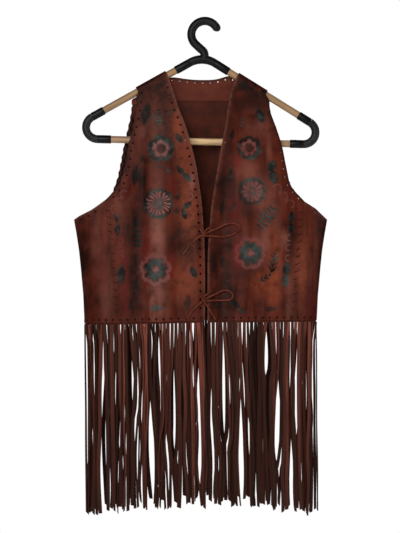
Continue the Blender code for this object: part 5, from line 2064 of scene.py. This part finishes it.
def add_fringe(label, start_angle, end_angle, seed, sizes):
    """A strip lapped inside one stretch of the hem, with its strands cut down from it."""
    angles, lengths = hem_line()
    start, end = np.interp([start_angle, end_angle], angles, lengths)
    strands = draw_strands(start, end, seed)
    fine = random.Random(FINE_SEED + seed)

    def hem_place(length):
        angle = float(np.interp(length, lengths, angles))
        point = on_ring(angle, HEM[0].z)
        beside = on_ring(angle + HEM_STEP, HEM[0].z) - on_ring(angle - HEM_STEP, HEM[0].z)
        outward = Vector((beside.y, -beside.x, 0.0)).normalized()
        point.z = hem_z(point.x) - SEAM
        return point - outward * STRAND_THICKNESS / 2, outward

    def strip_place(column, row):
        strand = strands[column // 2]
        side = -1 if column % 2 == 0 else 1
        point, outward = hem_place(strand["middle"] + side * strand["width"] / 2)
        point.z += lerp(-STRIP_HEIGHT, STRIP_LAP, row / STRIP_ROWS)
        return point - outward * (LEATHER if row else 0.0)

    bm = add_grid(2 * len(strands) - 1, STRIP_ROWS, strip_place)
    own = bm.verts.layers.float_vector.new("strand")
    for vert in bm.verts:
        vert[own] = (0.0, 0.0, STRIP_SHADE)
    for strand in strands:
        root, outward = hem_place(strand["middle"])
        root.z -= STRIP_HEIGHT
        for ribbon in draw_ribbons(fine):
            cut = bmesh.ops.create_grid(bm, x_segments=STRAND_COLUMNS, y_segments=STRAND_ROWS,
                                        size=0.5)
            for vert in cut["verts"]:
                across = 2.0 * vert.co.x
                fall = 0.5 - vert.co.y
                vert.co = ribbon_point(root, outward, strand, ribbon, fall, across, sizes)
                vert[own] = (across, fall, ribbon["shade"])
    fringe = add_mesh(f"fringe_{label}_strands", bm, "cut_cowhide_strands")
    wall = fringe.modifiers.new("leather", "SOLIDIFY")
    wall.thickness = STRAND_THICKNESS
    wall.offset = 0.0
    applied(fringe)
    return dress(fringe, "leather_fringe", f"fringe_{label}")


def hem_angle(x):
    """Angle round the body of a place on the front's hem."""
    return math.asin((x - BODY_MIDDLE_X) / GIRTHS[0].half_width)


# Ties

def thong_line(route):
    """A thong's route in space, lying off the leather of the fronts."""
    points = [on_wall(point.x, point.z, -1) - Vector((0.0, point.off, 0.0)) for point in route]
    return smooth_line(points, spacing=THONG_STEP)


def knot_line(knot, thong):
    """The path of an overhand knot, drawn up tight."""
    middle = on_wall(knot.x, knot.z, -1) - Vector((0.0, knot.off, 0.0))
    size = (KNOT_RADIUS - thong * KNOT_INSET) / KNOT_REACH
    line = []
    for index in range(KNOT_STEPS):
        turn = math.tau * index / KNOT_STEPS
        line.append(middle + size * Vector((
            math.sin(turn) + 2 * math.sin(2 * turn),
            KNOT_DEPTH * math.sin(3 * turn),
            math.cos(turn) - 2 * math.cos(2 * turn),
        )))
    return line


def add_knot(label, knot, lace, thong):
    """A knot, and the short thong that holds it to a hole in each front."""
    tied = as_mesh(add_tubes(f"tie_{label}_knot_thong", [knot_line(knot, thong)],
                             thong * KNOT_THONG, THONG_ROUNDING, closed=True), "waxed_thong")
    laced = as_mesh(add_tubes(f"tie_{label}_lace_thong", [thong_line(lace)], thong * LACE_THONG,
                              THONG_ROUNDING), "waxed_thong")
    dress(tied, "leather_thong", f"tie_{label}_knot")
    dress(laced, "leather_thong")
    return [tied, laced]


def add_thong(label, route, far_end, pieces, thong):
    """A loop or a free end of a tie, declared with its length and what is tied in it."""
    line = thong_line(route)
    cord = add_tubes(f"tie_{label}_thong", [line], thong / 2, THONG_ROUNDING)
    cord.data.materials.append(bpy.data.materials["waxed_thong"])
    dress(cord, "leather_thong", f"tie_{label}")
    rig.cord(cord, exit=line[0], length=round(line_length(line), 3), diameter=thong,
            far_end=far_end, stiffness="limp", lay="loose", with_pieces=pieces)


# Hanger

def arc_points(centre_x, centre_z, radius, start, end, count):
    angles = [math.radians(lerp(start, end, index / count)) for index in range(count + 1)]
    return [(centre_x + radius * math.cos(angle), centre_z + radius * math.sin(angle))
            for angle in angles]


def add_rod(name, start, end, radius, material):
    """A round rod with eased ends, whose grain runs along it."""
    along = end - start
    bm = bmesh.new()
    bmesh.ops.create_cone(bm, cap_ends=True, segments=ROD_SIDES, radius1=radius, radius2=radius,
                          depth=along.length)
    rims = [edge for edge in bm.edges if any(len(face.verts) > 4 for face in edge.link_faces)]
    bmesh.ops.bevel(bm, geom=rims, offset=END_ROUNDING, offset_type="OFFSET",
                    segments=END_ROUNDING_STEPS, profile=0.5, affect="EDGES", material=-1)
    grain = bm.verts.layers.float_vector.new("grain")
    for vert in bm.verts:
        vert[grain] = vert.co + Vector((0.0, 0.0, start.x))
    turn = along.to_track_quat("Z", "Y").to_matrix().to_4x4()
    bmesh.ops.transform(bm, matrix=Matrix.Translation((start + end) / 2) @ turn, verts=bm.verts[:])
    return add_mesh(name, bm, material)


def add_hook():
    """Hook and arch, moulded as one."""
    slope = math.degrees(SHOULDER_SLOPE)
    arch = arc_points(0.0, ARCH_TOP_Z - ARCH_RADIUS, ARCH_RADIUS, 90 + slope, 90 - slope, ARCH_STEPS)
    fullness = [lerp(1.0, ARCH_FULLNESS, math.sin(math.pi * index / ARCH_STEPS))
                for index in range(ARCH_STEPS + 1)]
    hook = as_mesh(add_tubes("hanger_hook_moulding", [[leaned(*point) for point in arch]],
                             BEND_RADIUS, PLASTIC_ROUNDING, fullness), "satin_black_abs")
    round_end = HOOK_TIP_ANGLE + HOOK_TIP_ROUNDING
    hook_arc = partial(arc_points, HOOK_MIDDLE_X, HOOK_ARC_CENTRE_Z, HOOK_ARC_RADIUS)
    tip = hook_arc(HOOK_TIP_ANGLE, round_end, len(HOOK_TIP_RADII) - 1)
    curl = hook_arc(round_end, HOOK_BACK_ANGLE, HOOK_ARC_STEPS)[1:]
    stem = smooth_line([(x, 0.0, z) for x, z in (curl[-1], *HOOK_STEM, (HOOK_MIDDLE_X, ARCH_TOP_Z))],
                       steps=HOOK_STEM_STEPS)[1:]
    route = [*tip, *curl, *[(point.x, point.z) for point in stem]]
    radii = [*HOOK_TIP_RADII] + [1.0] * (len(route) - len(tip))
    rod = as_mesh(add_tubes("hook_rod", [[leaned(*point) for point in route]], HOOK_ROD_RADIUS,
                            PLASTIC_ROUNDING, radii), "satin_black_abs")
    union = hook.modifiers.new("hook", "BOOLEAN")
    union.operation = "UNION"
    union.object = rod
    applied(hook)
    bpy.data.objects.remove(rod)
    dress(hook, "hanger_plastic", "hanger_hook")


def add_side(label, side):
    """One shoulder: its dowel, the bend at its end and the sleeves over the joints."""
    slope = math.degrees(SHOULDER_SLOPE)
    bend = arc_points(ELBOW_BEND_CENTRE_X, BAR_Z + ELBOW_BEND_RADIUS, ELBOW_BEND_RADIUS,
                      90 - slope, -90, ELBOW_STEPS)
    points = [leaned(side * x, z) for x, z in bend]
    elbow = as_mesh(add_tubes(f"hanger_bend_{label}", [points], BEND_RADIUS, PLASTIC_ROUNDING),
                    "satin_charcoal_abs")
    dress(elbow, "hanger_plastic", f"hanger_elbow_{label}")
    arch_x = ARCH_RADIUS * math.sin(SHOULDER_SLOPE)
    arch_end, start, end = [leaned(side * x, dowel_z(x))
                            for x in (arch_x, SHOULDER_SLEEVE_X, ELBOW_TOP_X)]
    places = {
        "sleeve_top": (arch_end, start),
        "sleeve_side": (end, points[0]),
        "sleeve_low": (points[-1], leaned(side * ELBOW_LOW_X, BAR_Z)),
    }
    for name, ends in places.items():
        sleeve = add_rod(f"{name}_{label}", *ends, SLEEVE_RADIUS, "black_sleeve_abs")
        dress(sleeve, "hanger_plastic")
    dowel = add_rod(f"dowel_{label}_birch", start, end, DOWEL_RADIUS, "birch_shoulder_dowel")
    dress(dowel, "hanger_wood", f"dowel_{label}")


# Stage

FLOOR_SIZE = 5.0
SENSOR = 36.0
LightPlace = namedtuple("LightPlace", "name x y z size power")
LIGHTS = (
    LightPlace("key", -0.75, -2.20, 0.45, 1.8, "key_power"),
    LightPlace("fill", 1.90, -1.20, -0.10, 1.2, "fill_power"),
    LightPlace("behind", 1.10, 2.00, 0.50, 1.5, "behind_power"),
)


def add_floor(stage, colours):
    """A pale, plain floor, as far below the hook as a rail hangs."""
    node = start_material("pale_floor_paint")
    tones = node("Mix", [clouds(node, FLOOR_CLOUDS), colours.floor, colours.floor_shade],
                 data_type="RGBA")
    finish_material(node, {"Base Color": tones, "Roughness": 0.9,
                           "Emission Color": colours.floor, "Emission Strength": 0.5})
    bm = bmesh.new()
    bmesh.ops.create_grid(bm, x_segments=1, y_segments=1, size=FLOOR_SIZE)
    bmesh.ops.translate(bm, verts=bm.verts[:], vec=(0.0, 0.0, stage.floor_z))
    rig.stage(add_mesh("floor", bm, "pale_floor_paint"))


def add_lights(stage):
    """Large soft lights in front and behind, and even light all round."""
    target = Vector((stage.aim_x, 0.0, stage.aim_z))
    for place in LIGHTS:
        lamp = bpy.data.lights.new(place.name, "AREA")
        lamp.energy = getattr(stage, place.power)
        lamp.size = place.size
        item = add_object(place.name, lamp)
        item.location = (place.x, place.y, place.z)
        item.rotation_euler = (target - item.location).to_track_quat("-Z", "Y").to_euler()
    world = bpy.data.worlds.new("studio")
    world.use_nodes = True
    world.node_tree.nodes.clear()
    node = partial(add_node, world.node_tree)
    seen = node("LightPath", out="Is Camera Ray")
    strength = node("MapRange", {"Value": seen, "To Min": stage.room_light, "To Max": 1.0})
    sky = node("Background", {"Color": (1.0, 1.0, 1.0, 1.0), "Strength": strength})
    node("OutputWorld", {"Surface": sky})
    bpy.context.scene.world = world


def add_camera(context, stage):
    """A level camera in front, framed as a tall picture."""
    lens = bpy.data.cameras.new("camera")
    lens.sensor_width = SENSOR
    lens.lens = SENSOR * stage.camera_distance / stage.frame_height
    camera = add_object("camera", lens)
    camera.location = (stage.aim_x, -stage.camera_distance, stage.aim_z)
    camera.rotation_euler = (math.pi / 2, 0.0, 0.0)
    context.scene.camera = camera
    context.scene.view_settings.view_transform = "Standard"


# Operators

class VEST_OT_materials(bpy.types.Operator):
    """Make the leathers, thongs, plastics and wood"""

    bl_idname = "vest.materials"
    bl_label = "Materials"

    def execute(self, context):
        colours = context.scene.vest_colours
        painted_cowhide(colours)
        plain_cowhide(colours)
        flesh_side("flesh_side", colours.hide_inside, colours.inside_dark, colours.inside_dark)
        flesh_side("yoke_flesh_side", colours.yoke_inside, colours.hide, colours.hide_dark)
        strand_hide(colours)
        thong_hide("waxed_thong", colours.thong, colours.hide, colours.sheen)
        thong_hide("lacing_thong", colours.lacing, colours.hide_dark, colours.sheen)
        thong_hide("waxed_thread", colours.thread, colours.hide, colours.sheen)
        moulded_plastic("satin_black_abs", colours.plastic, colours.bend, PLASTIC_ROUGHNESS)
        moulded_plastic("satin_charcoal_abs", colours.bend, colours.plastic_worn, PLASTIC_ROUGHNESS)
        moulded_plastic("black_sleeve_abs", colours.sleeve, colours.plastic, SLEEVE_ROUGHNESS)
        birch_dowel("birch_shoulder_dowel", colours.wood, colours.wood_dark, colours.dowel_end)
        birch_dowel("birch_bar_dowel", colours.bar_wood, colours.wood, colours.bar_end)
        return {"FINISHED"}


class VEST_OT_ties(bpy.types.Operator):
    """Tie the two thong bows over the opening"""

    bl_idname = "vest.ties"
    bl_label = "Ties"

    def execute(self, context):
        thong = context.scene.vest_sizes.thong
        upper = add_knot("upper", UPPER_KNOT, UPPER_LACE, thong)
        lower = add_knot("lower", LOWER_KNOT, LOWER_LACE, thong)
        for label, route, far_end, pieces in (
            ("upper_loop", UPPER_LOOP, "object", upper),
            ("upper_end", UPPER_END, "bare", []),
            ("lower_loop", LOWER_LOOP, "object", lower),
            ("lower_end_left", LOWER_END_LEFT, "bare", []),
            ("lower_end_right", LOWER_END_RIGHT, "bare", []),
        ):
            add_thong(label, route, far_end, pieces, thong)
        return {"FINISHED"}


class VEST_OT_hanger(bpy.types.Operator):
    """Make the hanger's hook, bends, sleeves and dowels"""

    bl_idname = "vest.hanger"
    bl_label = "Hanger"

    def execute(self, context):
        add_hook()
        add_side("left", -1)
        add_side("right", 1)
        bar = add_rod("dowel_bar_birch", leaned(-ELBOW_LOW_X, BAR_Z), leaned(ELBOW_LOW_X, BAR_Z),
                      DOWEL_RADIUS, "birch_bar_dowel")
        dress(bar, "hanger_wood", "dowel_bar")
        return {"FINISHED"}


class VEST_OT_fringe(bpy.types.Operator):
    """Hang the five lengths of fringe under the hem"""

    bl_idname = "vest.fringe"
    bl_label = "Fringe"

    def execute(self, context):
        left_seam = hem_angle(LEFT_FRONT[0].left_x)
        right_seam = hem_angle(RIGHT_FRONT[0].right_x)
        stretches = (
            ("front_left", left_seam, hem_angle(LEFT_FRONT[0].right_x)),
            ("front_right", hem_angle(RIGHT_FRONT[0].left_x), right_seam),
            ("side_left", -CORNER_ANGLE, left_seam),
            ("side_right", right_seam, CORNER_ANGLE),
            ("back", CORNER_ANGLE, math.tau - CORNER_ANGLE),
        )
        for seed, (label, start, end) in enumerate(stretches):
            add_fringe(label, start, end, seed, context.scene.vest_sizes)
        return {"FINISHED"}


class VEST_OT_panels(bpy.types.Operator):
    """Cut, dye, paint and lace the fronts, back and yoke"""

    bl_idname = "vest.panels"
    bl_label = "Panels"

    def execute(self, context):
        sizes = context.scene.vest_sizes
        left = add_front("left", LEFT_FRONT, -1, sizes)
        right = add_front("right", RIGHT_FRONT, 1, sizes)
        back = add_back(sizes)
        yoke = add_yoke(sizes)
        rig.sheet(left, flat=(0.180, 0.460), held="hung", rests_on=["dowel_left_birch"], area=0.060,
                 with_pieces=["fringe_front_left_strands", "front_left_lacing", "front_left_thread",
                              "armhole_left_lacing"])
        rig.sheet(right, flat=(0.180, 0.460), held="hung", rests_on=["dowel_right_birch"], area=0.058,
                 with_pieces=["fringe_front_right_strands", "front_right_lacing", "front_right_thread"])
        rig.sheet(back, flat=(0.550, 0.402), held="hung", rests_on=[yoke], area=0.167,
                 with_pieces=["fringe_back_strands", "fringe_side_left_strands",
                              "fringe_side_right_strands", "back_lacing", "back_thread",
                              "back_armhole_lacing"])
        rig.sheet(yoke, flat=(0.245, 0.058), held="hung", rests_on=[left, right], area=0.0084,
                 with_pieces=["yoke_thread", "neck_lacing"])
        return {"FINISHED"}


class VEST_OT_stage(bpy.types.Operator):
    """Set the floor, soft light and camera"""

    bl_idname = "vest.stage"
    bl_label = "Stage"

    def execute(self, context):
        stage = context.scene.vest_stage
        add_floor(stage, context.scene.vest_colours)
        add_lights(stage)
        add_camera(context, stage)
        return {"FINISHED"}


class VEST_PT_panel(bpy.types.Panel):
    """Lists the steps that dress the vest"""

    bl_label = "Laced leather vest"
    bl_idname = "VEST_PT_panel"
    bl_space_type = "VIEW_3D"
    bl_region_type = "UI"
    bl_category = "Vest"

    def draw(self, context):
        for operator in OPERATORS:
            self.layout.operator(operator.bl_idname)
        for group in [getattr(context.scene, name) for name in GROUPS]:
            box = self.layout.box()
            for name in group.bl_rna.properties.keys():
                if name not in ("rna_type", "name"):
                    box.prop(group, name)


OPERATORS = (VEST_OT_stage, VEST_OT_materials, VEST_OT_ties, VEST_OT_hanger, VEST_OT_fringe,
             VEST_OT_panels)
GROUPS = {"vest_sizes": VestSizes, "vest_colours": VestColours, "vest_stage": VestStage}
CLASSES = (*GROUPS.values(), *OPERATORS, VEST_PT_panel)


def register():
    for item in CLASSES:
        bpy.utils.register_class(item)
    for name, group in GROUPS.items():
        setattr(bpy.types.Scene, name, PointerProperty(type=group))


def unregister():
    for name in GROUPS:
        delattr(bpy.types.Scene, name)
    for item in reversed(CLASSES):
        bpy.utils.unregister_class(item)


def main():
    register()
    bpy.ops.vest.stage()
    bpy.ops.vest.materials()
    bpy.ops.vest.ties()
    bpy.ops.vest.hanger()
    bpy.ops.vest.fringe()
    bpy.ops.vest.panels()
    bpy.context.view_layer.update()
    boxes = {
        "cad": [list(corner) for corner in CAD_BOX],
        "visual": [list(corner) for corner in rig.bounds()],
    }
    with open(SIZE_FILE, "w") as file:
        json.dump(boxes, file)


if __name__ == "__main__":
    main()
